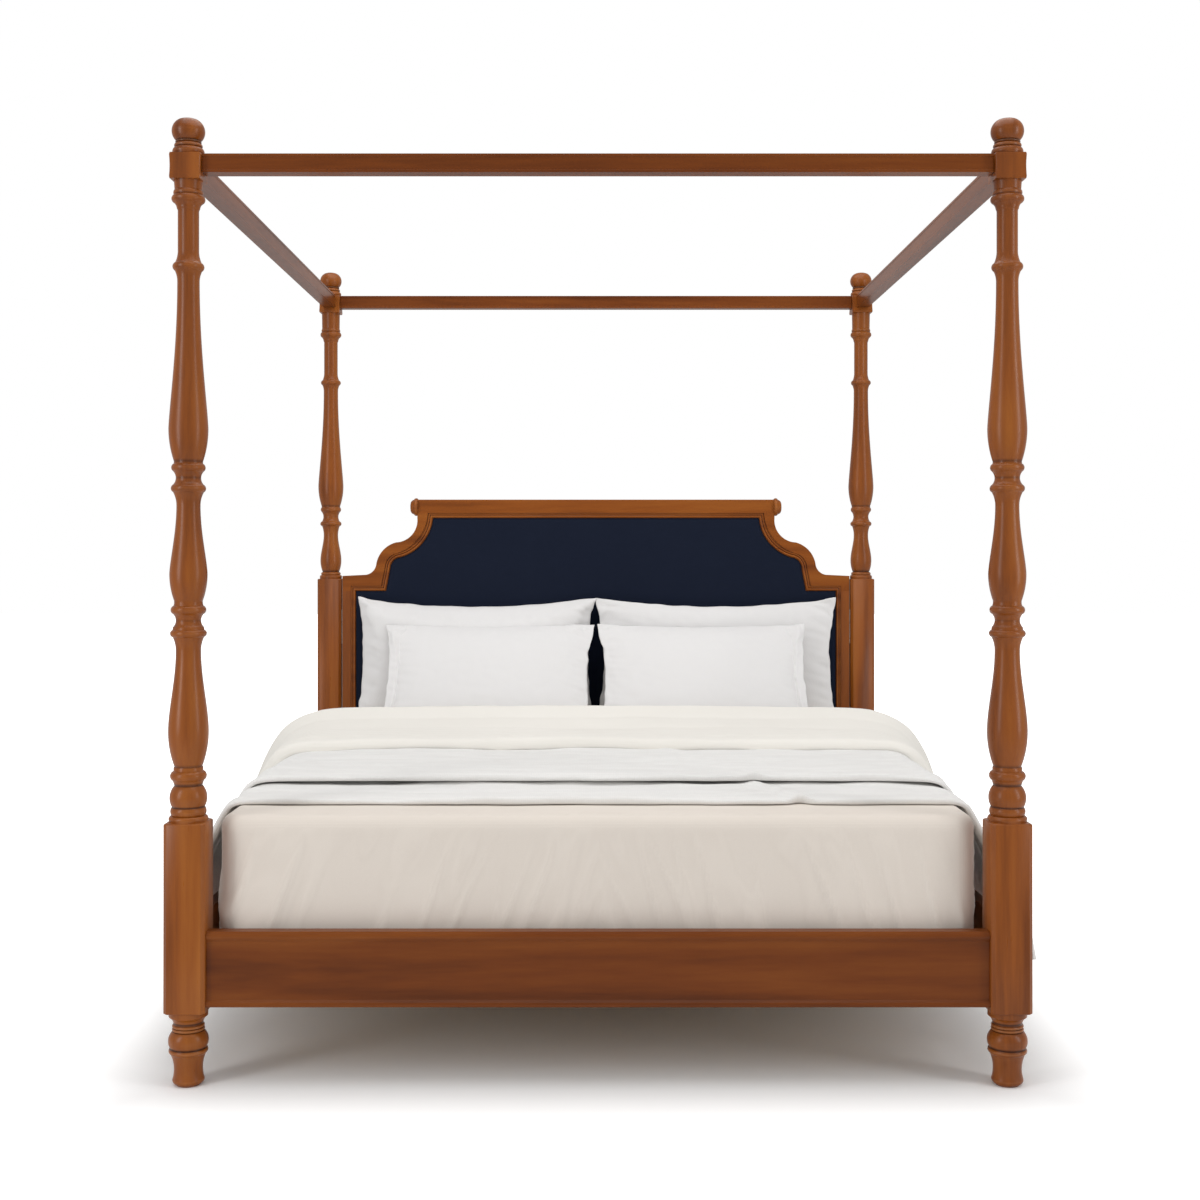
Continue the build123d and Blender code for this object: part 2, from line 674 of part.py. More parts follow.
def inner_half(out):
    """Opening of the frame, widened by out to reach the back edge of the moulding."""
    slant = out * 0.8
    edge = Outline(0, crest_inner + out).line(CREST_CORNER + out, crest_inner + out)
    edge.arc(745 + slant, 1304 + slant, 30).arc(785 + out, 1262 + out / 2, -11)
    edge.line(SHOULDER_CORNER + out, shoulder_inner + out)
    edge.line(stile_inner + out, shoulder_inner + out)
    edge.line(stile_inner + out, HEADBOARD_BOTTOM + BOTTOM_RAIL_HEIGHT - out)
    edge.line(0, HEADBOARD_BOTTOM + BOTTOM_RAIL_HEIGHT - out)
    return full_width(edge)


def slab(face, start, thick):
    """Board with this outline, from start behind the front face of the headboard."""
    return Pos(0, headboard_face + start, 0) * extrude(face, thick, dir=(0, 1, 0))


opening = inner_half(0)
frame = slab(outer_half() - inner_half(MOULDING_WIDTH), 0, HEADBOARD_THICK)
frame += slab(inner_half(MOULDING_WIDTH) - opening, MOULDING_DROP, HEADBOARD_THICK - MOULDING_DROP)
y0 = headboard_face - 1
y1 = headboard_face + HEADBOARD_THICK + 1
boss_z = CREST_TOP - BOSS_DROP
boss_at = Pos(0, headboard_face + HEADBOARD_THICK / 2, boss_z)
boss_hole = rod(BOSS_PIN_RADIUS, CREST_HALF - BOSS_PIN, CREST_HALF + 1, ROUND_SIDES)
save("headboard_crest_rail", frame & box(-CREST_CORNER, CREST_CORNER, y0, y1, shoulder_inner, CREST_TOP + 1))
save("headboard_bottom_rail", frame & box(-stile_inner, stile_inner, y0, y1, 0, shoulder_inner - 1))
for name, side in SIDES:
    x0, x1 = across(side, CREST_CORNER, post_x)
    toward = boss_at * Rot(0, 90 * side, 0)
    shoulder = (frame & box(x0, x1, y0, y1, shoulder_inner, CREST_TOP + 1)) - toward * boss_hole
    save(f"headboard_shoulder_{name}", shoulder)
    x0, x1 = across(side, stile_inner, post_x)
    save(f"headboard_stile_{name}", frame & box(x0, x1, y0, y1, 0, shoulder_inner))
    boss = Turning(BOSS_PIN_RADIUS - FIT, CREST_HALF - BOSS_PIN).cut(BOSS_PIN_RADIUS - FIT, BOSS_PIN)
    boss.cut(BOSS_RADIUS - 3, 0).ring(BOSS_LENGTH * 0.55, BOSS_RADIUS, BOSS_RADIUS - 4)
    boss.cut(BOSS_RADIUS - 6, 0).round(BOSS_RADIUS - 14, BOSS_LENGTH * 0.45, 4, 3)
    save(f"crest_end_boss_{name}", toward * boss.solid())
save("headboard_panel", slab(opening, PANEL_RECESS, PANEL_THICK))
back_start = PANEL_RECESS + PANEL_THICK
save("headboard_back_board", slab(opening, back_start, HEADBOARD_THICK - back_start))


# Canopy rails

def canopy_rail(length):
    """Rail along X, centred, with a sunk field on its two faces and a slot for a tongue in each end."""
    half = CANOPY_RAIL_WIDTH / 2
    top = CANOPY_TOP
    low = top - CANOPY_RAIL_HEIGHT
    section = []
    for sign in (1, -1):
        heights = (low, low + CANOPY_FILLET, low + CANOPY_FILLET + CANOPY_FIELD,
                   top - CANOPY_FILLET - CANOPY_FIELD, top - CANOPY_FILLET, top)
        depths = (half, half, half - CANOPY_FIELD, half - CANOPY_FIELD, half, half)
        side = [(sign * depth, height) for depth, height in zip(depths, heights)]
        section += side if sign > 0 else side[::-1]
    face = Plane.YZ * Polygon(*section, align=None)
    rail = extrude(face, length / 2, both=True)
    slot = Pos(length / 2, 0, (top + low) / 2) * Box(TONGUE_LENGTH + 2 * FIT, TONGUE_THICK + 2 * FIT,
                                                      TONGUE_HEIGHT + 2 * FIT)
    return rail - slot - mirror(slot, about=Plane.YZ)


def tongues(length):
    """The two tongues of a rail of this length."""
    middle = CANOPY_TOP - CANOPY_RAIL_HEIGHT / 2
    piece = Pos(length / 2, 0, middle) * Box(TONGUE_LENGTH, TONGUE_THICK, TONGUE_HEIGHT)
    return [piece, mirror(piece, about=Plane.YZ)]


span_x = POST_SPACING_X - TOP_BLOCK
span_y = POST_SPACING_Y - TOP_BLOCK
rail_tongues = []
for name, length, place in (
    ("canopy_rail_foot", span_x, Pos(0, foot_y, 0)),
    ("canopy_rail_head", span_x, Pos(0, head_y, 0)),
    ("canopy_rail_left", span_y, Pos(-post_x, (foot_y + head_y) / 2, 0) * Rot(0, 0, 90)),
    ("canopy_rail_right", span_y, Pos(post_x, (foot_y + head_y) / 2, 0) * Rot(0, 0, 90)),
):
    save(name, place * canopy_rail(length))
    rail_tongues += [place * piece for piece in tongues(length)]
save("canopy_rail_tongues", *rail_tongues)


# Foundation, mattress and bedding

bed_start = foot_y + MATTRESS_START
bed_end = bed_start + MATTRESS_LENGTH
bed_y = (bed_start + bed_end) / 2
foundation_top = SLAT_TOP + FOUNDATION_HEIGHT
mattress_top = foundation_top + SOFT_GAP + MATTRESS_HEIGHT
cover_top = mattress_top + SOFT_GAP + COVERLET


def mattress_block(grow, bottom, top):
    """Mattress outline, grown by a given amount, with rounded upright corners."""
    outline = RectangleRounded(MATTRESS_WIDTH + 2 * grow, MATTRESS_LENGTH + 2 * grow, MATTRESS_ROUND + grow)
    return extrude(Pos(0, bed_y, bottom) * outline, top - bottom)


def eased_top(block, ease):
    return chamfer(block.faces().sort_by(Axis.Z)[-1].edges(), ease)


foundation = mattress_block(-FOUNDATION_INSET, SLAT_TOP, foundation_top)
for name, side in SIDES:
    x0, x1 = across(side, SOFT_GAP, MATTRESS_WIDTH)
    save(f"foundation_{name}", foundation & box(x0, x1, bed_start, bed_end, SLAT_TOP, foundation_top))

mattress = eased_top(mattress_block(0, foundation_top + SOFT_GAP, mattress_top), MATTRESS_EASING)
save("mattress", mattress)
cover = mattress_block(SOFT_GAP + COVERLET, COVERLET_BOTTOM, cover_top)
cover = eased_top(cover, MATTRESS_EASING + COVERLET / 2)
cover -= eased_top(mattress_block(SOFT_GAP, COVERLET_BOTTOM - 1, mattress_top + SOFT_GAP), MATTRESS_EASING)
far = MATTRESS_WIDTH
save("coverlet", cover - box(-far, far, bed_end - MATTRESS_ROUND, bed_end + far, 0, cover_top + 1))


def drape(y, rise, thick, ripple, hem):
    """Section across the bed of a cloth that lies on the coverlet and hangs outside the side rails.

    rise lifts its upper face above the coverlet, and ripple swings the hanging part out or in.
    """
    low = cover_top + SOFT_GAP
    edge = MATTRESS_WIDTH / 2
    clear = side_outer + max(CAP_OVERHANG, BASE_MOULDING_DEPTH) + DRAPE_CLEAR + ripple
    knee = max(RAIL_TOP + 5, hem + 80)
    hip = low - HIP_DROP
    inner = [(edge + 8, low), (edge + HIP_OUT, hip), (clear, knee), (clear + HEM_FLARE, hem)]
    outer = [(edge - 50, low + rise), (edge + 16 + thick / 2, low + rise * 0.7),
             (edge + HIP_OUT + thick * 0.9, hip + thick * 0.4), (clear + thick, knee + 7),
             (clear + HEM_FLARE + thick, hem + 2)]
    right = inner + outer[::-1]
    left = [(-x, z) for x, z in outer + inner[::-1]]
    return [(x, y, z) for x, z in right + left]


def hanging_cloth(sections):
    """Cloth through the sections, each a distance behind the foot posts with its drape."""
    return skin([drape(foot_y + behind, *shape) for behind, *shape in sections], flat_end)


# Each row: distance behind the foot post axis, rise, thickness, ripple and height of the hem.
throw_layers = [
    (190, 18, 14, 0, 262), (200, 26, 20, 4, 258), (300, 28, 20, -6, 255), (440, 32, 20, 8, 262),
    (455, 54, 26, 4, 258), (600, 58, 26, -8, 266), (760, 60, 26, 6, 255), (900, 62, 26, -6, 262),
    (1012, 62, 24, 2, 256),
]
save("throw_blanket", hanging_cloth(throw_layers))
duvet_fold = [
    (1014, 58, 22, -48, 420), (1030, 78, 30, -46, 412), (1100, 86, 30, -52, 405), (1230, 92, 30, -42, 415),
    (1360, 112, 30, -52, 405), (1450, 144, 30, -44, 412), (1490, 140, 28, -48, 410), (1512, 96, 22, -50, 420),
]
save("duvet_fold", hanging_cloth(duvet_fold))


def pillow(width, height, thick):
    """Pillow standing on its long edge, thickest in the middle, with edges drawn in between its corners."""
    rings = []
    for place, full, drawn in ((-1, 0.04, 0), (-0.9, 0.45, 0.35), (-0.62, 0.85, 0.8), (0, 1, 1),
                               (0.62, 0.85, 0.8), (0.9, 0.45, 0.35), (1, 0.04, 0)):
        low = PILLOW_LIFT * drawn
        tall = height - PILLOW_DIP * drawn - low
        front = []
        for up, deep in ((0, 0), (0.1, 0.62), (0.34, 1), (0.62, 0.95), (0.9, 0.55), (1, 0)):
            x = place * (width / 2 - PILLOW_WAIST * sin(pi * up))
            front.append((x, -thick / 2 * full * deep, low + tall * up))
        rings.append(front + [(x, -y, z) for x, y, z in front[-2:0:-1]])
    return skin(rings, lens_end)


rest = cover_top + SOFT_GAP
for name, side in SIDES:
    at = Pos(side * BACK_PILLOW_X, foot_y + BACK_PILLOW_START, rest) * Rot(-BACK_PILLOW_LEAN, 0, 0)
    save(f"back_pillow_{name}", at * pillow(BACK_PILLOW_WIDTH, BACK_PILLOW_HEIGHT, BACK_PILLOW_THICK))
    at = Pos(side * FRONT_PILLOW_X, foot_y + FRONT_PILLOW_START, rest) * Rot(-FRONT_PILLOW_LEAN, 0, 0)
    save(f"front_pillow_{name}", at * pillow(FRONT_PILLOW_WIDTH, FRONT_PILLOW_HEIGHT, FRONT_PILLOW_THICK))
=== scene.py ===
# %% [markdown]
# # A four poster bed
# The bed stands in a plain studio. Turned posts carry a canopy frame, and a low foot rail, side rails and
# an upholstered headboard hold the mattress and its covers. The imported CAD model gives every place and
# size here. Rigid pieces whose shape is already right keep their CAD mesh and get a finish. Turned pieces
# are made again with truly round sections, and every soft piece is made again as cloth or as a stuffed
# form.

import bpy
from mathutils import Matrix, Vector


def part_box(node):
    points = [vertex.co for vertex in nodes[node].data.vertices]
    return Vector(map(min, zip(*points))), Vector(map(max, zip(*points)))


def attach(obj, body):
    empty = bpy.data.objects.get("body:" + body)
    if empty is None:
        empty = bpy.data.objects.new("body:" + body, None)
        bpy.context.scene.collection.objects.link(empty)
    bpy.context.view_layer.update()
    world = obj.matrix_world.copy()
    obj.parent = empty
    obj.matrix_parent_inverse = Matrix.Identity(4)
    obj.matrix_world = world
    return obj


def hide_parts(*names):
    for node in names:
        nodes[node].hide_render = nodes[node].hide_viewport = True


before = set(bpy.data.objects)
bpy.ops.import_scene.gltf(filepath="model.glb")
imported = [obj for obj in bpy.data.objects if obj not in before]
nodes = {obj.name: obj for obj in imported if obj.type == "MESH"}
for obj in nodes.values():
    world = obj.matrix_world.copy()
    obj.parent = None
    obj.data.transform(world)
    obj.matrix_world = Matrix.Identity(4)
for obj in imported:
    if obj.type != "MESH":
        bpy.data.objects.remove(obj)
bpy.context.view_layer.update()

# %% Tools
from math import atan2, cos, exp, hypot, pi, radians, sin, sqrt

import bmesh
import bpy
from mathutils import Matrix, Vector, noise

MM = 0.001
SIDES = (("left", -1), ("right", 1))


def middle(node):
    low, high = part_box(node)
    return (low + high) / 2


foot_y = middle("foot_post_base_left").y
head_y = middle("head_rail").y
post_x = middle("foot_post_base_right").x
print("post axes at x", round(post_x, 4), "foot y", round(foot_y, 4), "head y", round(head_y, 4))

# %% [markdown]
# ## Camera
# The photograph is taken from straight in front of the foot, a little under the height of a standing eye.
# Its verticals are parallel, so the camera is level and the picture is moved with the lens shift and not
# by a tilt.

# %% Camera
CAMERA_BACK = 3.835            # in front of the foot posts
CAMERA_HEIGHT = 1.309
CAMERA_ASIDE = -0.0138
IMAGE = 1200
FOCAL_PIXELS = 1546
VANISHING = (592.3, 556)       # pixel where lines along the bed meet

camera_data = bpy.data.cameras.new("camera")
camera_data.sensor_width = 36
camera_data.lens = FOCAL_PIXELS * 36 / IMAGE
camera_data.shift_x = (IMAGE / 2 - VANISHING[0]) / IMAGE
camera_data.shift_y = (VANISHING[1] - IMAGE / 2) / IMAGE
camera = bpy.data.objects.new("camera", camera_data)
camera.location = (CAMERA_ASIDE, foot_y - CAMERA_BACK, CAMERA_HEIGHT)
camera.rotation_euler = (pi / 2, 0, 0)
bpy.context.scene.collection.objects.link(camera)
bpy.context.scene.camera = camera
print("lens", round(camera_data.lens, 2), "mm")

# %% [markdown]
# ## Studio
# A plain white floor runs out to a white background, and the light is soft: an even sky, and tall soft
# boxes at the left and right that draw the upright highlights down the turned posts. The floor only looks
# white to the camera far from the bed, so that close to it the soft shadow stays.

# %% Floor, background and lights
FLOOR_SIZE = 60.0
SKY_STRENGTH = 0.55


def plain_material(name):
    material = bpy.data.materials.new(name)
    material.use_nodes = True
    tree = material.node_tree
    return material, tree, tree.nodes["Principled BSDF"]


def wire(tree, start, end):
    tree.links.new(start, end)


def maths(tree, operation, first, second):
    node = tree.nodes.new("ShaderNodeMath")
    node.operation = operation
    for socket, value in zip(node.inputs, (first, second)):
        if isinstance(value, (int, float)):
            socket.default_value = value
        else:
            wire(tree, value, socket)
    return node.outputs[0]


def sees_background(tree):
    """1 for rays that should meet a plain white background: from the camera and through glass."""
    path = tree.nodes.new("ShaderNodeLightPath")
    first = tree.nodes.new("ShaderNodeMath")
    first.operation = "MAXIMUM"
    wire(tree, path.outputs["Is Camera Ray"], first.inputs[0])
    wire(tree, path.outputs["Is Transmission Ray"], first.inputs[1])
    return first.outputs[0]


def make_floor():
    bm = bmesh.new()
    bmesh.ops.create_grid(bm, x_segments=8, y_segments=8, size=FLOOR_SIZE / 2)
    mesh = bpy.data.meshes.new("floor")
    bm.to_mesh(mesh)
    bm.free()
    floor = bpy.data.objects.new("floor", mesh)
    bpy.context.scene.collection.objects.link(floor)
    material, tree, shader = plain_material("studio_floor")
    shader.inputs["Base Color"].default_value = (0.93, 0.93, 0.93, 1)
    shader.inputs["Roughness"].default_value = 1.0
    shader.inputs["Specular IOR Level"].default_value = 0.0
    place = tree.nodes.new("ShaderNodeTexCoord")
    parts = tree.nodes.new("ShaderNodeSeparateXYZ")
    wire(tree, place.outputs["Object"], parts.inputs[0])
    beyond = []
    for axis, half in (("X", post_x), ("Y", head_y)):
        distance = maths(tree, "ABSOLUTE", parts.outputs[axis], 0.0)
        beyond.append(maths(tree, "SUBTRACT", distance, half))
    fade = tree.nodes.new("ShaderNodeMapRange")
    fade.interpolation_type = "SMOOTHSTEP"
    fade.inputs["From Min"].default_value = -0.1
    fade.inputs["From Max"].default_value = 0.85
    fade.inputs["To Min"].default_value = 0.0
    fade.inputs["To Max"].default_value = 1.0
    wire(tree, maths(tree, "MAXIMUM", *beyond), fade.inputs["Value"])
    seen = tree.nodes.new("ShaderNodeMath")
    seen.operation = "MULTIPLY"
    wire(tree, fade.outputs["Result"], seen.inputs[0])
    wire(tree, sees_background(tree), seen.inputs[1])
    shader.inputs["Emission Color"].default_value = (1, 1, 1, 1)
    wire(tree, seen.outputs[0], shader.inputs["Emission Strength"])
    mesh.materials.append(material)
    return floor


def make_sky():
    world = bpy.data.worlds.new("studio")
    bpy.context.scene.world = world
    world.use_nodes = True
    tree = world.node_tree
    lit = tree.nodes["Background"]
    lit.inputs["Color"].default_value = (1.0, 1.0, 1.0, 1)
    lit.inputs["Strength"].default_value = SKY_STRENGTH
    white = tree.nodes.new("ShaderNodeBackground")
    white.inputs["Color"].default_value = (1, 1, 1, 1)
    white.inputs["Strength"].default_value = 1.0
    mix = tree.nodes.new("ShaderNodeMixShader")
    wire(tree, sees_background(tree), mix.inputs[0])
    wire(tree, lit.outputs[0], mix.inputs[1])
    wire(tree, white.outputs[0], mix.inputs[2])
    wire(tree, mix.outputs[0], tree.nodes["World Output"].inputs["Surface"])


def soft_box(name, place, target, width, height, power):
    data = bpy.data.lights.new(name, "AREA")
    data.shape = "RECTANGLE"
    data.size = width
    data.size_y = height
    data.energy = power
    lamp = bpy.data.objects.new(name, data)
    lamp.location = place
    lamp.rotation_euler = (Vector(target) - Vector(place)).to_track_quat("-Z", "Y").to_euler()
    bpy.context.scene.collection.objects.link(lamp)
    return lamp


make_floor()
make_sky()
soft_box("soft_box_left", (-3.6, foot_y - 2.4, 2.1), (-0.2, 0, 1.1), 0.9, 3.0, 50)
soft_box("soft_box_right", (3.6, foot_y - 1.6, 2.0), (0.2, 0, 1.1), 0.7, 3.0, 36)
soft_box("soft_box_above", (0, -0.6, 4.6), (0, 0.1, 0), 4.0, 4.0, 90)
bpy.context.scene.view_settings.view_transform = "Standard"

# %% [markdown]
# ## Effects shared by several finishes
# Wood grain, the painted shade in hollows with the wear on crowns, and the weave of cloth are each made once
# as a shader group with named inputs, and every material places the group with its own values.

# %% Group helpers


def new_group(name, inputs, outputs):
    """Shader group with the given sockets: inputs as (name, kind, default), outputs as (name, kind)."""
    group = bpy.data.node_groups.new(name, "ShaderNodeTree")
    for label, kind, value in inputs:
        socket = group.interface.new_socket(label, in_out="INPUT", socket_type=kind)
        if value is not None:
            socket.default_value = value
    for label, kind in outputs:
        group.interface.new_socket(label, in_out="OUTPUT", socket_type=kind)
    return group, group.nodes.new("NodeGroupInput"), group.nodes.new("NodeGroupOutput")


def noise_texture(tree, vector, scale, detail, rough=0.5):
    node = tree.nodes.new("ShaderNodeTexNoise")
    node.inputs["Detail"].default_value = detail
    node.inputs["Roughness"].default_value = rough
    if isinstance(scale, (int, float)):
        node.inputs["Scale"].default_value = scale
    else:
        wire(tree, scale, node.inputs["Scale"])
    wire(tree, vector, node.inputs["Vector"])
    return node.outputs["Fac"]


def blend_colours(tree, share, first, second, mode="MIX"):
    node = tree.nodes.new("ShaderNodeMix")
    node.data_type = "RGBA"
    node.blend_type = mode
    for socket, value in ((node.inputs[0], share), (node.inputs[6], first), (node.inputs[7], second)):
        if isinstance(value, (int, float)):
            socket.default_value = value
        elif isinstance(value, tuple):
            socket.default_value = value
        else:
            wire(tree, value, socket)
    return node.outputs[2]


# %% Wood grain
def make_grain_group():
    """Long streaks, fine pores and a slow change of tone. Stretch squeezes the grain along the board."""
    group, given, made = new_group(
        "wood_grain",
        [("Stretch", "NodeSocketVector", (1, 1, 0.08)), ("Scale", "NodeSocketFloat", 14.0)],
        [("Streaks", "NodeSocketFloat"), ("Pores", "NodeSocketFloat"), ("Tone", "NodeSocketFloat")])
    place = group.nodes.new("ShaderNodeTexCoord")
    squeeze = group.nodes.new("ShaderNodeVectorMath")
    squeeze.operation = "MULTIPLY"
    wire(group, place.outputs["Object"], squeeze.inputs[0])
    wire(group, given.outputs["Stretch"], squeeze.inputs[1])
    wander = noise_texture(group, squeeze.outputs[0], 3.0, 2)
    bend = group.nodes.new("ShaderNodeVectorMath")
    bend.operation = "ADD"
    wire(group, squeeze.outputs[0], bend.inputs[0])
    shift = group.nodes.new("ShaderNodeCombineXYZ")
    for axis in range(3):
        wire(group, maths(group, "MULTIPLY", wander, 0.12), shift.inputs[axis])
    wire(group, shift.outputs[0], bend.inputs[1])
    streaks = noise_texture(group, bend.outputs[0], given.outputs["Scale"], 6, 0.6)
    fine = maths(group, "MULTIPLY", given.outputs["Scale"], 14)
    pores = noise_texture(group, squeeze.outputs[0], fine, 2, 0.7)
    tone = noise_texture(group, squeeze.outputs[0], maths(group, "MULTIPLY", given.outputs["Scale"], 0.22), 2)
    wire(group, streaks, made.inputs["Streaks"])
    wire(group, pores, made.inputs["Pores"])
    wire(group, tone, made.inputs["Tone"])
    return group


grain_group = make_grain_group()


# %% Painted shade in hollows and wear on crowns
def make_hollow_group():
    """Paints shade into a colour where a piece's own hollow value is high, and lightens its worn edges."""
    group, given, made = new_group(
        "hollow_shade_and_edge_wear",
        [("Colour", "NodeSocketColor", (0.3, 0.1, 0.03, 1)),
         ("Painted Shade", "NodeSocketColor", (0.03, 0.006, 0.002, 1)),
         ("Depth", "NodeSocketFloat", 1.0), ("Wear", "NodeSocketFloat", 0.25)],
        [("Colour", "NodeSocketColor")])
    hollow = group.nodes.new("ShaderNodeAttribute")
    hollow.attribute_name = "hollow"
    edge = group.nodes.new("ShaderNodeAttribute")
    edge.attribute_name = "edge"
    # Painted shade: the colour darkens where the hollow value is high, standing in for the shade that falls
    # into grooves.
    darkness = maths(group, "MULTIPLY", hollow.outputs["Fac"], given.outputs["Depth"])
    dark = blend_colours(group, darkness, given.outputs["Colour"], given.outputs["Painted Shade"])
    worn = blend_colours(group, maths(group, "MULTIPLY", edge.outputs["Fac"], given.outputs["Wear"]),
                         dark, (0.52, 0.24, 0.1, 1))
    wire(group, worn, made.inputs["Colour"])
    return group


hollow_group = make_hollow_group()


# %% Woven cloth
def make_weave_group():
    """Warp and weft threads seen from a step away, with slubs, on a surface facing any way."""
    group, given, made = new_group(
        "woven_cloth", [("Threads", "NodeSocketFloat", 700.0), ("Slub", "NodeSocketFloat", 0.4)],
        [("Weave", "NodeSocketFloat"), ("Slubs", "NodeSocketFloat"), ("Patches", "NodeSocketFloat")])
    place = group.nodes.new("ShaderNodeTexCoord")
    parts = group.nodes.new("ShaderNodeSeparateXYZ")
    wire(group, place.outputs["Object"], parts.inputs[0])
    waves = []
    for axis in range(3):
        along = maths(group, "MULTIPLY", parts.outputs[axis], given.outputs["Threads"])
        waves.append(maths(group, "SINE", along, 0.0))
    first = maths(group, "ADD", waves[0], waves[1])
    woven = maths(group, "ADD", first, waves[2])
    scaled = maths(group, "MULTIPLY_ADD", woven, 0.16)
    scaled.node.inputs[2].default_value = 0.5
    slub_scale = maths(group, "MULTIPLY", given.outputs["Threads"], 0.16)
    slubs = noise_texture(group, place.outputs["Object"], slub_scale, 3, 0.65)
    wire(group, scaled, made.inputs["Weave"])
    wire(group, maths(group, "MULTIPLY", slubs, given.outputs["Slub"]), made.inputs["Slubs"])
    wire(group, noise_texture(group, place.outputs["Object"], 5.0, 3), made.inputs["Patches"])
    return group


weave_group = make_weave_group()


# %% [markdown]
# ## Finishes
# The frame is a warm reddish hardwood under a satin lacquer. The grain runs along each piece, so there is
# one finish for upright pieces, one for pieces across the bed and one for pieces along it, and one for the
# headboard. The same wood takes two palettes: the pieces across and along the bed a darker one as painted
# shade, and the upright pieces and the headboard, paler than the foot rail, a lighter one as painted light.

# %% Mahogany
def place_group(tree, group, **values):
    node = tree.nodes.new("ShaderNodeGroup")
    node.node_tree = group
    for label, value in values.items():
        node.inputs[label].default_value = value
    return node


def ramp(tree, value, stops):
    node = tree.nodes.new("ShaderNodeValToRGB")
    wire(tree, value, node.inputs[0])
    while len(node.color_ramp.elements) < len(stops):
        node.color_ramp.elements.new(0.5)
    for element, (at, colour) in zip(node.color_ramp.elements, stops):
        element.position = at
        element.color = (*colour, 1)
    return node.outputs["Color"]


def wood(name, stretch, scale, dark, mid, light, rough, shine):
    material, tree, shader = plain_material(name)
    grain = place_group(tree, grain_group, Stretch=stretch, Scale=scale)
    body = ramp(tree, grain.outputs["Streaks"], [(0.3, dark), (0.5, mid), (0.72, light)])
    tone = maths(tree, "MULTIPLY", grain.outputs["Tone"], 0.55)
    toned = blend_colours(tree, tone, body, (*dark, 1), "MULTIPLY")
    toned = blend_colours(tree, 0.35, body, toned)
    pored = blend_colours(tree, maths(tree, "MULTIPLY", grain.outputs["Pores"], 0.22), toned, (*dark, 1))
    # Painted shade in hollows and wear on crowns are added to the grain colour here.
    shade_and_wear = place_group(tree, hollow_group)
    wire(tree, pored, shade_and_wear.inputs["Colour"])
    wire(tree, shade_and_wear.outputs["Colour"], shader.inputs["Base Color"])
    wire(tree, maths(tree, "MULTIPLY_ADD", grain.outputs["Pores"], 0.12), shader.inputs["Roughness"])
    shader.inputs["Roughness"].links[0].from_node.inputs[2].default_value = rough
    shader.inputs["Specular IOR Level"].default_value = shine
    bump = tree.nodes.new("ShaderNodeBump")
    bump.inputs["Strength"].default_value = 0.08
    bump.inputs["Distance"].default_value = 0.0006
    wire(tree, grain.outputs["Pores"], bump.inputs["Height"])
    wire(tree, bump.outputs["Normal"], shader.inputs["Normal"])
    return material


# Painted light: one mahogany in two palettes. The darker one is painted shade on pieces across and along the
# bed, the lighter one painted light on upright pieces and the headboard.
SHADED_PALETTE = (0.095, 0.021, 0.0022), (0.185, 0.044, 0.0045), (0.255, 0.07, 0.009)
LIT_PALETTE = (0.15, 0.036, 0.004), (0.29, 0.078, 0.0085), (0.375, 0.118, 0.016)
UPRIGHT = (1, 1, 0.07)
ACROSS = (0.07, 1, 1)
ALONG = (1, 0.07, 1)
mahogany = {
    "upright": wood("mahogany_upright", UPRIGHT, 15.0, *LIT_PALETTE, 0.24, 0.3),
    "across": wood("mahogany_across", ACROSS, 15.0, *SHADED_PALETTE, 0.26, 0.2),
    "headboard": wood("mahogany_headboard", ACROSS, 15.0, *LIT_PALETTE, 0.26, 0.2),
    "along": wood("mahogany_along", ALONG, 15.0, *SHADED_PALETTE, 0.24, 0.34),
}
PALE = ((0.45, 0.27, 0.12), (0.55, 0.36, 0.18), (0.66, 0.46, 0.26))
pale_wood = {
    "upright": wood("pale_wood_upright", UPRIGHT, 18.0, *PALE, 0.6, 0.3),
    "across": wood("pale_wood_across", ACROSS, 18.0, *PALE, 0.6, 0.3),
    "along": wood("pale_wood_along", ALONG, 18.0, *PALE, 0.6, 0.3),
}


# %% Steel and plastic
def zinc_steel():
    material, tree, shader = plain_material("zinc_steel")
    place = tree.nodes.new("ShaderNodeTexCoord")
    spangle = noise_texture(tree, place.outputs["Object"], 90.0, 3)
    wire(tree, ramp(tree, spangle, [(0.35, (0.42, 0.43, 0.42)), (0.65, (0.62, 0.62, 0.6))]),
         shader.inputs["Base Color"])
    wire(tree, maths(tree, "MULTIPLY", spangle, 0.7), shader.inputs["Roughness"])
    shader.inputs["Metallic"].default_value = 1.0
    return material


def glide_plastic():
    material, tree, shader = plain_material("glide_plastic")
    place = tree.nodes.new("ShaderNodeTexCoord")
    fine = noise_texture(tree, place.outputs["Object"], 400.0, 2)
    wire(tree, ramp(tree, fine, [(0.3, (0.015, 0.015, 0.016)), (0.7, (0.04, 0.04, 0.042))]),
         shader.inputs["Base Color"])
    wire(tree, maths(tree, "MULTIPLY", fine, 1.1), shader.inputs["Roughness"])
    return material


steel = zinc_steel()
plastic = glide_plastic()


# %% [markdown]
# ## Cloth finishes
# All the cloth is woven. What changes is the thread, the colour and how much the surface scatters: the
# upholstery is a deep navy linen, the coverlet a warm grey, the throw a cool white and the duvet ivory.

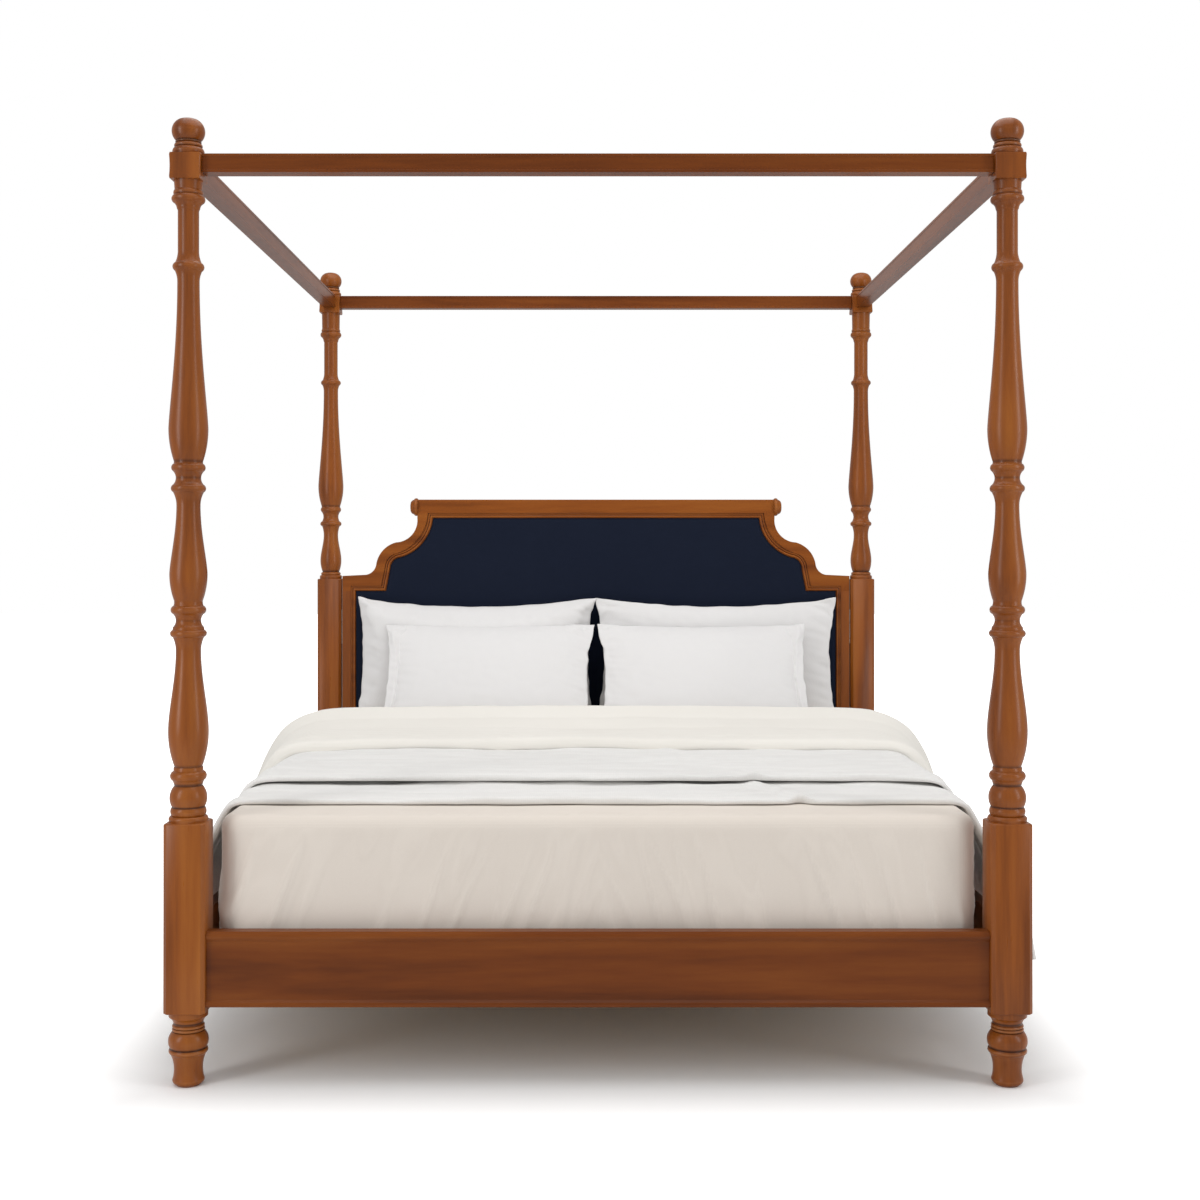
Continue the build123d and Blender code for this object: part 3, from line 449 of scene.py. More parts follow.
# %% Cloths
def cloth(name, colour, shade, threads, slub, rough, sheen, relief):
    material, tree, shader = plain_material(name)
    weave = place_group(tree, weave_group, Threads=threads, Slub=slub)
    share = maths(tree, "MULTIPLY_ADD", weave.outputs["Weave"], 0.35)
    share.node.inputs[2].default_value = 0.0
    share = maths(tree, "ADD", share, weave.outputs["Slubs"])
    woven = blend_colours(tree, share, (*colour, 1), (*shade, 1))
    patchy = blend_colours(tree, maths(tree, "MULTIPLY", weave.outputs["Patches"], 0.14), woven, (*shade, 1))
    wire(tree, patchy, shader.inputs["Base Color"])
    roughness = maths(tree, "MULTIPLY_ADD", weave.outputs["Patches"], 0.1)
    roughness.node.inputs[2].default_value = rough
    wire(tree, roughness, shader.inputs["Roughness"])
    shader.inputs["Specular IOR Level"].default_value = 0.15
    shader.inputs["Sheen Weight"].default_value = sheen
    shader.inputs["Sheen Roughness"].default_value = 0.5
    bump = tree.nodes.new("ShaderNodeBump")
    bump.inputs["Strength"].default_value = 0.35
    bump.inputs["Distance"].default_value = relief
    height = maths(tree, "ADD", weave.outputs["Weave"], weave.outputs["Slubs"])
    wire(tree, height, bump.inputs["Height"])
    wire(tree, bump.outputs["Normal"], shader.inputs["Normal"])
    return material


navy = cloth("navy_linen", (0.0085, 0.014, 0.033), (0.004, 0.0065, 0.0155), 2600.0, 0.5, 0.85, 0.03, 0.0004)
coverlet_cloth = cloth("coverlet_cloth", (0.8, 0.735, 0.665), (0.64, 0.575, 0.51), 2200.0, 0.3, 0.9, 0.05,
                       0.0003)
throw_cloth = cloth("throw_cloth", (0.86, 0.85, 0.83), (0.67, 0.66, 0.64), 1300.0, 0.5, 0.95, 0.1, 0.0006)
ivory = cloth("duvet_cloth", (0.85, 0.825, 0.775), (0.73, 0.7, 0.64), 2600.0, 0.2, 0.85, 0.05, 0.0002)
cotton = cloth("pillow_cotton", (0.79, 0.78, 0.775), (0.68, 0.67, 0.665), 2400.0, 0.3, 0.88, 0.05, 0.0002)
ticking = cloth("mattress_ticking", (0.8, 0.79, 0.76), (0.66, 0.65, 0.62), 1800.0, 0.3, 0.9, 0.05, 0.0003)
foundation_cloth = cloth("foundation_cloth", (0.6, 0.58, 0.55), (0.45, 0.44, 0.42), 1800.0, 0.3, 0.9, 0.0,
                         0.0003)

# %% [markdown]
# ## Turned pieces
# A turner cuts a post from its profile: rings, hollows and long vases. Here the same profile is walked in
# small steps and spun about the post's axis. Each ring of points also stores how deep it lies in a
# hollow, which is where shade is painted into the colour, and how sharp its crown is, which is where the
# finish wears.

# %% Profile of a turning
ROUND = 72                     # points round a turned piece


class Turning:
    """Radius against height, in millimetres, from the lower end up."""

    def __init__(self, radius, height):
        self.cuts = [(radius, height)]

    def cut(self, radius, rise, steps=1):
        start, low = self.cuts[-1]
        for step in range(1, steps + 1):
            self.cuts.append((start + (radius - start) * step / steps, low + rise * step / steps))
        return self

    def round(self, radius, rise, bulge, steps=12):
        start, low = self.cuts[-1]
        chord = hypot(radius - start, rise)
        sweep = 4 * atan2(2 * abs(bulge), chord)
        arc = chord / 2 / sin(sweep / 2)
        for step in range(1, steps + 1):
            angle = sweep * (step / steps - 0.5)
            along = 0.5 + arc * sin(angle) / chord
            out = (cos(angle) - cos(sweep / 2)) * arc * (1 if bulge > 0 else -1)
            self.cuts.append((start + along * (radius - start) + out * rise / chord,
                              low + along * rise - out * (radius - start) / chord))
        return self

    def ring(self, rise, crown, end):
        """Raised ring with a fine groove on each side of it."""
        start = self.cuts[-1][0]
        return self.round(end, rise, crown - (start + end) / 2, 12)

    def vase(self, belly_rise, belly, neck_rise, neck, slim):
        start, low = self.cuts[-1]
        arc = ((belly - start) ** 2 + belly_rise ** 2) / (2 * (belly - start))
        for step in range(1, 13):
            down = belly_rise * (1 - step / 12)
            self.cuts.append((belly - arc + sqrt(arc ** 2 - down ** 2), low + belly_rise - down))
        for step in range(1, 41):
            t = step / 40
            u = t ** slim
            left = 1 - u * u * (3 - 2 * u)
            self.cuts.append((neck + (belly - neck) * left, low + belly_rise + neck_rise * t))
        return self


# %% Hollows and crowns of a profile
def hollow_values(cuts, reach=9.0):
    """For each cut, how far it lies below its neighbours within reach, from 0 to 1."""
    values = []
    for radius, height in cuts:
        near = [r for r, z in cuts if abs(z - height) <= reach]
        deepest = max(near) - radius
        both = min(max([r for r, z in cuts if 0 <= z - height <= reach], default=radius),
                   max([r for r, z in cuts if 0 <= height - z <= reach], default=radius)) - radius
        values.append(max(0.0, min(1.0, both / 3.5)) * min(1.0, deepest / 2.0))
    return values


def crown_values(cuts, reach=7.0):
    values = []
    for radius, height in cuts:
        above = min([r for r, z in cuts if 0 <= z - height <= reach], default=radius)
        below = min([r for r, z in cuts if 0 <= height - z <= reach], default=radius)
        values.append(max(0.0, min(1.0, (radius - max(above, below)) / 4.0)))
    return values


def spun_rings(bm, layers, cuts, centre, round_count=ROUND):
    """Adds a closed spun form to bm about an upright axis, and returns its rings."""
    hollow, edge = layers
    rings = []
    for (radius, height), deep, crown in zip(cuts, hollow_values(cuts), crown_values(cuts)):
        ring = []
        for step in range(round_count):
            angle = 2 * pi * step / round_count
            point = bm.verts.new((centre.x + radius * MM * cos(angle), centre.y + radius * MM * sin(angle),
                                  centre.z + height * MM))
            point[hollow] = deep
            point[edge] = crown
            ring.append(point)
        rings.append(ring)
    for low, high in zip(rings, rings[1:]):
        for here in range(round_count):
            there = (here + 1) % round_count
            bm.faces.new((low[here], low[there], high[there], high[here]))
    bm.faces.new(rings[0][::-1])
    bm.faces.new(rings[-1])
    return rings


def start_mesh():
    bm = bmesh.new()
    layers = (bm.verts.layers.float.new("hollow"), bm.verts.layers.float.new("edge"))
    return bm, layers


def finish_mesh(bm, name, material, sharp=38):
    mesh = bpy.data.meshes.new(name)
    bm.to_mesh(mesh)
    bm.free()
    mesh.materials.append(material)
    mesh.shade_smooth()
    if sharp:
        mesh.set_sharp_from_angle(angle=radians(sharp))
    piece = bpy.data.objects.new(name, mesh)
    bpy.context.scene.collection.objects.link(piece)
    return piece


def stand_in(piece, body, node):
    """A new piece takes the place of its CAD node and moves with the node's body."""
    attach(piece, body)
    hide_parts(node)
    return piece


# %% [markdown]
# ## Post bases
# The lower length of each post is a turned foot under a square block with bevelled corners, and a low turned
# ring on top where the upper part screws on.

# %% Turned foot and square block
BLOCK_BOTTOM = 185.0
BASE_RING = 14.0
CORNER_CUT = 9.0
TOP_EASING = 3.5


def foot_profile(half):
    """From the floor: pad, hollow ankle, collar, bulb, two rings and a cove up to the block."""
    r = half / 51
    foot = Turning(28 * r, 0)
    foot.round(31 * r, 2.5, 0.9, 4)
    foot.round(39 * r, 11, 2.2)
    foot.round(43.5 * r, 64.5, -6, 20)
    foot.cut(44.5 * r, 0.8)
    foot.ring(12, 48 * r, 45.5 * r)
    foot.cut(44 * r, 1)
    foot.round(38 * r, 42, 8, 18)
    foot.cut(36.5 * r, 0.6)
    foot.ring(8, 40 * r, 36.2 * r)
    foot.ring(8, 39.5 * r, 36 * r)
    foot.round(48 * r, 20, -3)
    foot.cut(48 * r, BLOCK_BOTTOM - foot.cuts[-1][1])
    return foot.cuts


def octagon(bm, half, corner, centre, height):
    points = []
    for sx, sy in ((1, 1), (-1, 1), (-1, -1), (1, -1)):
        pair = [(sx * half, sy * (half - corner)), (sx * (half - corner), sy * half)]
        if sx * sy < 0:
            pair = pair[::-1]
        points += pair
    return [bm.verts.new((centre.x + x * MM, centre.y + y * MM, centre.z + height * MM)) for x, y in points]


def bridge(bm, rings):
    for low, high in zip(rings, rings[1:]):
        count = len(low)
        for here in range(count):
            there = (here + 1) % count
            bm.faces.new((low[here], low[there], high[there], high[here]))
    bm.faces.new(rings[0][::-1])
    bm.faces.new(rings[-1])


def post_base(name, centre, size, top):
    half = size / 2
    bm, layers = start_mesh()
    spun_rings(bm, layers, foot_profile(half), centre)
    levels = [(half - 1.2, BLOCK_BOTTOM), (half, BLOCK_BOTTOM + 1.2), (half, top - TOP_EASING),
              (half - 0.5 * TOP_EASING, top - 0.9), (half - TOP_EASING, top)]
    bridge(bm, [octagon(bm, across, CORNER_CUT, centre, level) for across, level in levels])
    ring = Turning(half - TOP_EASING, top - 1).cut(half - TOP_EASING, 1 + BASE_RING / 4)
    ring.round(half - 2 * TOP_EASING, BASE_RING * 3 / 4, 2, 8)
    spun_rings(bm, layers, ring.cuts, centre)
    piece = finish_mesh(bm, name, mahogany["upright"])
    soften = piece.modifiers.new("soften", "BEVEL")
    soften.width = 0.0012
    soften.segments = 2
    soften.angle_limit = radians(40)
    return piece


for end, y, size in (("foot", foot_y, 102.0), ("head", head_y, 90.0)):
    for side, sign in SIDES:
        node = f"{end}_post_base_{side}"
        top = (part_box(node)[1].z - BASE_RING * MM) / MM
        base = post_base(f"{end}_post_base_turned_{side}", Vector((sign * post_x, y, 0)), size, top)
        stand_in(base, "bed_frame", node)
print("post bases made")

# %% [markdown]
# ## Upper posts
# The foot posts carry three vases and the head posts two, between groups of rings. Each ends in a long plain
# neck, a heavy ring and the square block that takes the canopy rails.

# %% Upper post profiles
TOP_BLOCK_HEIGHT = 64.0
TOP_BLOCK = 78.0
WAIST = 1.6


def foot_post_profile(start, end):
    k = (end - start) / 1572
    post = Turning(40, start)
    post.ring(22 * k, 44, 40)
    post.round(34, 53 * k, 8.5, 20)
    post.cut(38, 12 * k, 3)
    post.ring(24 * k, 44.5, 36)
    post.cut(36, 8 * k).cut(34, 3 * k)
    post.vase(86 * k, 49.2, 200 * k, 30.5, 0.92)
    post.round(38, 34 * k, -2)
    post.ring(18 * k, 44.5, 38.5)
    post.cut(37.5, 7 * k)
    post.round(38, 33 * k, -7.2, 16)
    post.ring(20 * k, 42.8, 36)
    post.cut(34.5, 5 * k).cut(34.5, 7 * k)
    post.vase(66 * k, 46, 171 * k, 29, 0.78)
    post.round(37, 32 * k, -2)
    post.ring(19 * k, 42.5, 37)
    post.round(37, 33 * k, -6.5, 16)
    post.ring(19 * k, 41.5, 35.5)
    post.cut(35, 5 * k)
    post.vase(82 * k, 48.2, 365 * k, 27, 0.68)
    post.round(33, 26 * k, -1.5)
    post.ring(20 * k, 38.5, 32)
    post.round(25.7, 26 * k, -1.2).cut(25.7, 99 * k, 6).round(28, 9 * k, -0.8, 6).round(35, 14 * k, -1.5, 8)
    post.ring(19 * k, 41, 35)
    post.ring(13 * k, 36.5, 33.5)
    post.cut(35, end - post.cuts[-1][1])
    return post.cuts


def head_post_profile(start, end):
    k = (end - start) / 1002
    post = Turning(35, start)
    post.ring(12 * k, 37, 31)
    post.vase(44 * k, 39.5, 97 * k, 27, 1)
    post.round(33, 34 * k, -1.5)
    post.ring(18 * k, 40, 34)
    post.round(34, 36 * k, -5.7, 16)
    post.ring(18 * k, 38.5, 35)
    post.cut(35, 5 * k)
    post.vase(76 * k, 47.3, 361 * k, 27, 0.68)
    post.round(32, 26 * k, -1.5)
    post.ring(19 * k, 37.5, 31)
    post.round(25.5, 26 * k, -1.2).cut(25.5, 115 * k, 6).round(28, 9 * k, -0.8, 6).round(34, 14 * k, -1.5, 8)
    post.ring(20 * k, 39.5, 34)
    post.ring(12 * k, 35.5, 33)
    post.cut(34, end - post.cuts[-1][1])
    return post.cuts


# %% Top block and finial
def top_block(bm, centre, bottom):
    """Square block whose sides are slightly hollow, with softened corners."""
    rings = []
    steps = 12
    half = TOP_BLOCK / 2
    for step in range(steps + 1):
        share = step / steps
        edge = min(share, 1 - share) * TOP_BLOCK_HEIGHT
        waist = WAIST * (1 - (2 * share - 1) ** 2)
        ease = 1.4 * max(0.0, 1 - edge / 2.0)
        rings.append(octagon(bm, half - waist - ease, 2.2, centre, bottom + share * TOP_BLOCK_HEIGHT))
    bridge(bm, rings)


def finial_profile(base):
    shape = Turning(36, base + 0.2)
    shape.round(37, 2, 0.4, 4)
    shape.round(33.5, 16, 3.5)
    shape.cut(32.3, 0.8)
    shape.ring(10, 34.5, 31)
    shape.cut(30, 1.2)
    shape.ring(5.5, 31.8, 29.8)
    shape.round(24, 52, 13.5, 30)
    shape.round(1.5, 4.5, 1.2, 8)
    return shape.cuts


for end, y, profile in (("foot", foot_y, foot_post_profile), ("head", head_y, head_post_profile)):
    for side, sign in SIDES:
        node = f"{end}_post_upper_{side}"
        low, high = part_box(node)
        centre = Vector((sign * post_x, y, 0))
        block_bottom = high.z / MM - TOP_BLOCK_HEIGHT
        bm, layers = start_mesh()
        spun_rings(bm, layers, profile(low.z / MM, block_bottom), centre)
        top_block(bm, centre, block_bottom)
        post = finish_mesh(bm, f"{end}_post_turned_{side}", mahogany["upright"])
        stand_in(post, "bed_frame", node)
        bm, layers = start_mesh()
        spun_rings(bm, layers, finial_profile(high.z / MM), centre)
        spun_rings(bm, layers, [(7, high.z / MM - 32), (7, high.z / MM + 1)], centre, 24)
        stand_in(finish_mesh(bm, f"{end}_finial_turned_{side}", mahogany["upright"]), f"finial_{end}_{side}",
                 f"finial_{end}_{side}")
print("posts and finials made")

# %% [markdown]
# ## Straight wooden pieces
# Rails, slats and the headboard's frame keep their CAD meshes. A narrow bevel breaks their edges, so that
# they catch light as a sanded edge does.

# %% Finishes of the CAD pieces
def dress(node, material, bevel=0.0008):
    piece = nodes[node]
    piece.data.materials.clear()
    piece.data.materials.append(material)
    if bevel:
        soften = piece.modifiers.new("soften", "BEVEL")
        soften.width = bevel
        soften.segments = 2
        soften.angle_limit = radians(30)
        soften.harden_normals = False


for node in ("canopy_rail_foot", "canopy_rail_head", "foot_rail_board", "foot_rail_cap",
             "foot_rail_base_moulding", "head_rail"):
    dress(node, mahogany["across"])
for node in ("headboard_crest_rail", "headboard_bottom_rail", "headboard_back_board"):
    dress(node, mahogany["headboard"])
for side, sign in SIDES:
    for node in (f"canopy_rail_{side}", f"side_rail_{side}", f"side_rail_cap_{side}",
                 f"side_rail_base_moulding_{side}"):
        dress(node, mahogany["along"])
    dress(f"headboard_shoulder_{side}", mahogany["headboard"], 0.0)
    dress(f"headboard_stile_{side}", mahogany["upright"])
    dress(f"crest_end_boss_{side}", mahogany["across"], 0.0)
    dress(f"slat_ledger_{side}", pale_wood["along"])
dress("slats", pale_wood["across"])
dress("centre_beam", pale_wood["along"])
dress("centre_legs", pale_wood["upright"])
dress("centre_leg_glides", plastic)
for node in ("rail_hook_plates", "post_slot_plates", "beam_brackets", "canopy_rail_tongues",
             "post_joint_screws"):
    dress(node, steel, 0.0)

# %% [markdown]
# ## Crest bosses
# A turned button closes each end of the crest rail. It is spun like the posts and laid on its side.

# %% Bosses
for side, sign in SIDES:
    node = f"crest_end_boss_{side}"
    low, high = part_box(node)
    length = (high.x - low.x) / MM
    bm, layers = start_mesh()
    boss = Turning(10, 0.5).cut(31, 0).ring(length * 0.3, 34, 30).cut(28, 0.5)
    boss.round(14, length * 0.28, 3.5).cut(1, 1)
    pin = length - boss.cuts[-1][1]
    spun_rings(bm, layers, [(radius, height + pin) for radius, height in boss.cuts], Vector(), 48)
    turn = Matrix.Rotation(sign * pi / 2, 4, "Y")
    inner = low.x if sign > 0 else high.x
    where = Matrix.Translation((inner, (low.y + high.y) / 2, (low.z + high.z) / 2))
    bmesh.ops.transform(bm, matrix=where @ turn, verts=bm.verts)
    button = finish_mesh(bm, f"crest_boss_turned_{side}", mahogany["headboard"])
    stand_in(button, "bed_frame", node)

# %% [markdown]
# ## Headboard upholstery
# Navy linen is stretched over a padded board that fills the shaped opening. Its face swells a few millimetres
# from the edge, and a small wooden bead with a groove covers the join between cloth and frame. Painted shade
# darkens the groove and the bead's edges against the cloth and the frame.

# %% Outline of the opening


def arc_points(start, end, bulge, steps=14):
    """Points on an arc from start to end. A positive bulge lies to the right of the way from start to end."""
    (x0, z0), (x1, z1) = start, end
    chord = hypot(x1 - x0, z1 - z0)
    sweep = 4 * atan2(2 * abs(bulge), chord)
    radius = chord / 2 / sin(sweep / 2)
    points = []
    for step in range(1, steps + 1):
        angle = sweep * (step / steps - 0.5)
        along = 0.5 + radius * sin(angle) / chord
        out = (cos(angle) - cos(sweep / 2)) * radius * (-1 if bulge > 0 else 1)
        points.append((x0 + along * (x1 - x0) - out * (z1 - z0) / chord,
                       z0 + along * (z1 - z0) + out * (x1 - x0) / chord))
    return points


def opening_outline():
    """Closed outline of the upholstery, clockwise from the lower left, in millimetres."""
    panel_low, panel_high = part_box("headboard_panel")
    half = panel_high.x / MM
    top, bottom = panel_high.z / MM, panel_low.z / MM
    right = [(0, top), (622, top)]
    right += arc_points((622, top), (745, 1304), 30)
    right += arc_points((745, 1304), (785, 1262), -11)
    right += [(801, 1176), (half, 1176), (half, bottom)]
    left = [(-x, z) for x, z in right[1:]]
    return left[::-1] + right


def shifted(outline, out):
    """The outline moved outwards by a distance, with mitred corners."""
    moved = []
    count = len(outline)
    for here in range(count):
        before, point, after = (Vector(outline[(here + step) % count]) for step in (-1, 0, 1))
        first = (point - before).normalized()
        second = (after - point).normalized()
        first, second = Vector((-first.y, first.x)), Vector((-second.y, second.x))
        mitre = (first + second) / max(0.35, 1 + first.dot(second))
        moved.append((point.x + mitre.x * out, point.y + mitre.y * out))
    return moved


def outline_rings(bm, layers, outline, front, section):
    """Rings of points round the outline: each section row is a distance out, a depth and a hollow value."""
    rings = []
    for out, depth, deep in section:
        ring = []
        for x, z in shifted(outline, out):
            point = bm.verts.new((x * MM, front + depth * MM, z * MM))
            point[layers[0]] = deep
            ring.append(point)
        rings.append(ring)
    for first, second in zip(rings, rings[1:]):
        count = len(first)
        for here in range(count):
            there = (here + 1) % count
            bm.faces.new((first[here], first[there], second[there], second[here]))
    return rings


# %% Panel and bead
opening = opening_outline()
frame_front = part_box("headboard_bottom_rail")[0].y
panel_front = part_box("headboard_panel")[0].y
bm, layers = start_mesh()
swell = [(-0.3, 20, 0)] + [(-0.3 - d, 1 - 6 * (1 - exp(-d / 7)), 0) for d in (0, 1, 2, 4, 7, 11, 16, 24)]
rings = outline_rings(bm, layers, opening, panel_front, swell)
bm.faces.new(rings[-1])
bm.faces.new(rings[0][::-1])
bmesh.ops.recalc_face_normals(bm, faces=bm.faces)
pad = finish_mesh(bm, "headboard_upholstery", navy, 50)
stand_in(pad, "bed_frame", "headboard_panel")

bm, layers = start_mesh()
# The third value of each row is the hollow value: painted shade darkens the groove and the bead's edges
# against the cloth and the frame.
bead = [(0.6, 6, 1), (0.8, 3.5, 0.9), (1.8, 1.2, 0.2), (3.6, -0.6, 0), (6, -1.2, 0), (8.4, -0.6, 0),
        (9.8, 1.0, 0.3), (10.6, 2.6, 1), (11.4, 2.8, 1),
        (12.2, 1.9, 0.3), (14, 1.2, 0), (16, 0.6, 0), (17.4, 1.0, 0.3),
        (18.2, 2.2, 1), (18.8, 5.2, 1)]
outline_rings(bm, layers, opening, frame_front, bead)
bmesh.ops.recalc_face_normals(bm, faces=bm.faces)
moulding = finish_mesh(bm, "headboard_bead", mahogany["headboard"], 60)
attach(moulding, "bed_frame")
print("headboard made")

# %% [markdown]
# ## Mattress and foundation
# Under the covers are a deep mattress and a split foundation. Both are upholstered blocks with rounded
# corners and a corded seam. They are made again from their outline, with a soft round edge.

# %% Upholstered blocks


def rounded_outline(x0, x1, y0, y1, radius, open_side=0):
    """Outline of a block seen from above, with a small radius at the side where two halves meet."""
    points = []
    corners = ((x1, y1, 0, open_side > 0), (x0, y1, 90, open_side < 0), (x0, y0, 180, open_side < 0),
               (x1, y0, 270, open_side > 0))
    for x, y, start, sharp in corners:
        r = 0.012 if sharp else radius
        cx = x - r if x == x1 else x + r
        cy = y - r if y == y1 else y + r
        for step in range(9):
            angle = radians(start + 90 * step / 8)
            points.append((cx + r * cos(angle), cy + r * sin(angle)))
    return points


def inward(outline, distance):
    """The outline drawn in by a distance, each point towards the middle along its own normal."""
    loop = [(x / MM, y / MM) for x, y in outline]
    return [(x * MM, y * MM) for x, y in shifted(loop, distance / MM)]


def upholstered_block(name, outline, bottom, top, edge, material, belly=0.004):
    levels = [(edge, bottom), (edge * 0.3, bottom + edge * 0.3), (0, bottom + edge)]
    span = top - bottom - 2 * edge
    levels += [(-belly * sin(pi * share), bottom + edge + span * share) for share in (0.25, 0.5, 0.75)]
    levels += [(0, top - edge), (-0.003, top - edge + 0.003), (0.001, top - edge + 0.006),
               (edge * 0.3, top - edge * 0.3), (edge, top), (edge * 3, top + 0.001)]
    bm, layers = start_mesh()
    rings = [[bm.verts.new((x, y, z)) for x, y in inward(outline, draw)] for draw, z in levels]
    bridge(bm, rings)
    bmesh.ops.recalc_face_normals(bm, faces=bm.faces)
    block = finish_mesh(bm, name, material, 60)
    return block


low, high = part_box("mattress")
outline = rounded_outline(low.x + 0.01, high.x - 0.01, low.y + 0.01, high.y - 0.006, 0.07)
block = upholstered_block("mattress_upholstered", outline, low.z, high.z - 0.006, 0.03, ticking)
stand_in(block, "mattress_and_covers", "mattress")
for side, sign in SIDES:
    low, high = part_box(f"foundation_{side}")
    outline = rounded_outline(low.x + 0.001, high.x - 0.001, low.y + 0.001, high.y - 0.001, 0.07, -sign)
    name = f"foundation_upholstered_{side}"
    block = upholstered_block(name, outline, low.z, high.z, 0.008, foundation_cloth, 0)
    stand_in(block, "bed_frame", f"foundation_{side}")
print("mattress and foundation made")

# %% [markdown]
# ## Coverlet
# A plain coverlet is drawn over the mattress and tucked behind the rails. It is one sheet: a strip runs
# round the mattress from its hem up to a soft edge and then in towards the middle of the top. The pull of
# the tucked hem gathers it into shallow upright folds, strongest near the rail and gone at the top edge.

# %% Coverlet
cover_low, cover_high = (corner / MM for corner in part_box("coverlet"))
COVER_TOP = cover_high.z


def ripple(x, y, z, seed):
    return noise.noise(Vector((x, y, z + seed * 13.7)))


def grid_faces(bm, rows, closed=False):
    for first, second in zip(rows, rows[1:]):
        for here in range(len(first) - (0 if closed else 1)):
            there = (here + 1) % len(first)
            bm.faces.new((first[here], first[there], second[there], second[here]))


def cover_loop(radius, step=9.0):
    """Points round the left side, foot and right side of the mattress, each with its outward normal."""
    half, near, far = cover_high.x - 1, cover_low.y + 1, cover_high.y - 1
    loop = [(-half, far - step * k * 3, -1, 0) for k in range(int((far - near - radius) / step / 3))]
    for k in range(13):
        angle = pi + pi / 2 * k / 12
        loop.append((-half + radius + radius * cos(angle), near + radius + radius * sin(angle),
                     cos(angle), sin(angle)))
    count = int((half - radius) / step)
    front = [(-(half - radius) * (1 - k / count), near, 0, -1) for k in range(1, count + 1)]
    loop += front
    return loop + [(-x, y, -nx, ny) for x, y, nx, ny in loop[-2::-1]]


def face_fold(x, y, z):
    """How far the hanging part stands out at this place."""
    down = max(0.0, min(1.0, (COVER_TOP - 18 - z) / 260))
    along = x + (z - 500) * 0.35 * (1 if x > 0 else -1) + y
    broad = ripple(along / 170, 0, z / 900, 3)
    sharp = 1 - abs(ripple(along / 62, 1, z / 420, 5)) * 5
    return down ** 0.6 * (13 * broad + 7 * max(0.0, sharp)) + 1.2 * ripple(x / 40, y / 40, z / 40, 9) * down


def make_coverlet():
    bm, layers = start_mesh()
    loop = cover_loop(64)
    middle_start = cover_low.y + cover_high.x
    edge = 30.0
    rows = []
    for level in range(28):
        z = cover_low.z + (COVER_TOP - edge - cover_low.z) * level / 27
        row = []
        for x, y, nx, ny in loop:
            out = max(-2.0, face_fold(x, y, z) - 2)
            row.append(bm.verts.new(Vector((x + nx * out, y + ny * out, z)) * MM))
        rows.append(row)
    for turn in range(1, 7):
        angle = pi / 2 * turn / 6
        draw = edge * (1 - cos(angle)) + 3
        z = COVER_TOP - edge + edge * sin(angle)
        rows.append([bm.verts.new(Vector((x - nx * draw, y - ny * draw, z)) * MM) for x, y, nx, ny in loop])
    ring = [(x - nx * (edge + 3), y - ny * (edge + 3)) for x, y, nx, ny in loop]
    for step in range(1, 41):
        share = (step / 40) ** 1.15 * 0.995
        row = []
        for x, y in ring:
            goal = max(y, middle_start)
            there = (x * (1 - share), y + (goal - y) * share)
            lift = 1.6 * ripple(there[0] / 120, there[1] / 90, 0, 21) - 1.2
            row.append(bm.verts.new(Vector((*there, COVER_TOP + lift)) * MM))
        rows.append(row)
    grid_faces(bm, rows)
    bmesh.ops.recalc_face_normals(bm, faces=bm.faces)
    return finish_mesh(bm, "coverlet_cloth", coverlet_cloth, 0)


coverlet = stand_in(make_coverlet(), "mattress_and_covers", "coverlet")
print("coverlet made")

# %% [markdown]
# ## Throw and duvet
# The throw is a woollen blanket laid over the foot of the bed in two steps, each with a rolled front
# edge, and its ends hang outside the side rails. The duvet is folded back behind it. All three are made
# by one function: a section goes across the bed and down both sides, and it is carried along the bed from
# under the cloth, round the front roll and over the top. Long creases lie along the bed's width, and one
# pinch crosses both steps.

# %% Cloth laid across the bed
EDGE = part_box("mattress")[1].x / MM - 16
RAIL_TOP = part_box("side_rail_cap_right")[1].z / MM
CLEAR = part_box("side_rail_cap_right")[1].x / MM + 43


def smooth_line(points, times=3):
    """Cuts the corners of a line a few times, which rounds it."""
    for _ in range(times):
        cut = [points[0]]
        for (x0, z0), (x1, z1) in zip(points, points[1:]):
            cut += [(x0 * 0.75 + x1 * 0.25, z0 * 0.75 + z1 * 0.25),
                    (x0 * 0.25 + x1 * 0.75, z0 * 0.25 + z1 * 0.75)]
        points = cut + [points[-1]]
    return points


def even_steps(points, count):
    """The same line as count + 1 points at equal distances."""
    lengths = [0.0]
    for first, second in zip(points, points[1:]):
        lengths.append(lengths[-1] + hypot(second[0] - first[0], second[1] - first[1]))
    result, here = [], 0
    for step in range(count + 1):
        want = lengths[-1] * step / count
        while here < len(points) - 2 and lengths[here + 1] < want:
            here += 1
        share = (want - lengths[here]) / max(1e-6, lengths[here + 1] - lengths[here])
        (x0, z0), (x1, z1) = points[here], points[here + 1]
        result.append((x0 + (x1 - x0) * share, z0 + (z1 - z0) * share))
    return result


def half_section(base, thick, share, swing, hem, count):
    lift = base + thick * share
    side = 0.25 * base + thick * share
    low = COVER_TOP + 0.4
    knee = max(RAIL_TOP + 12, hem + 80)
    line = [(0, low + lift), (EDGE - 60, low + lift), (EDGE + 16 + side * 0.5, low + 0.75 * lift),
            (EDGE + 36 + side, low - 25 + 0.4 * lift), (CLEAR + side + swing, knee + 7),
            (CLEAR + 28 + side + swing, hem)]
    return even_steps(smooth_line(line), count)


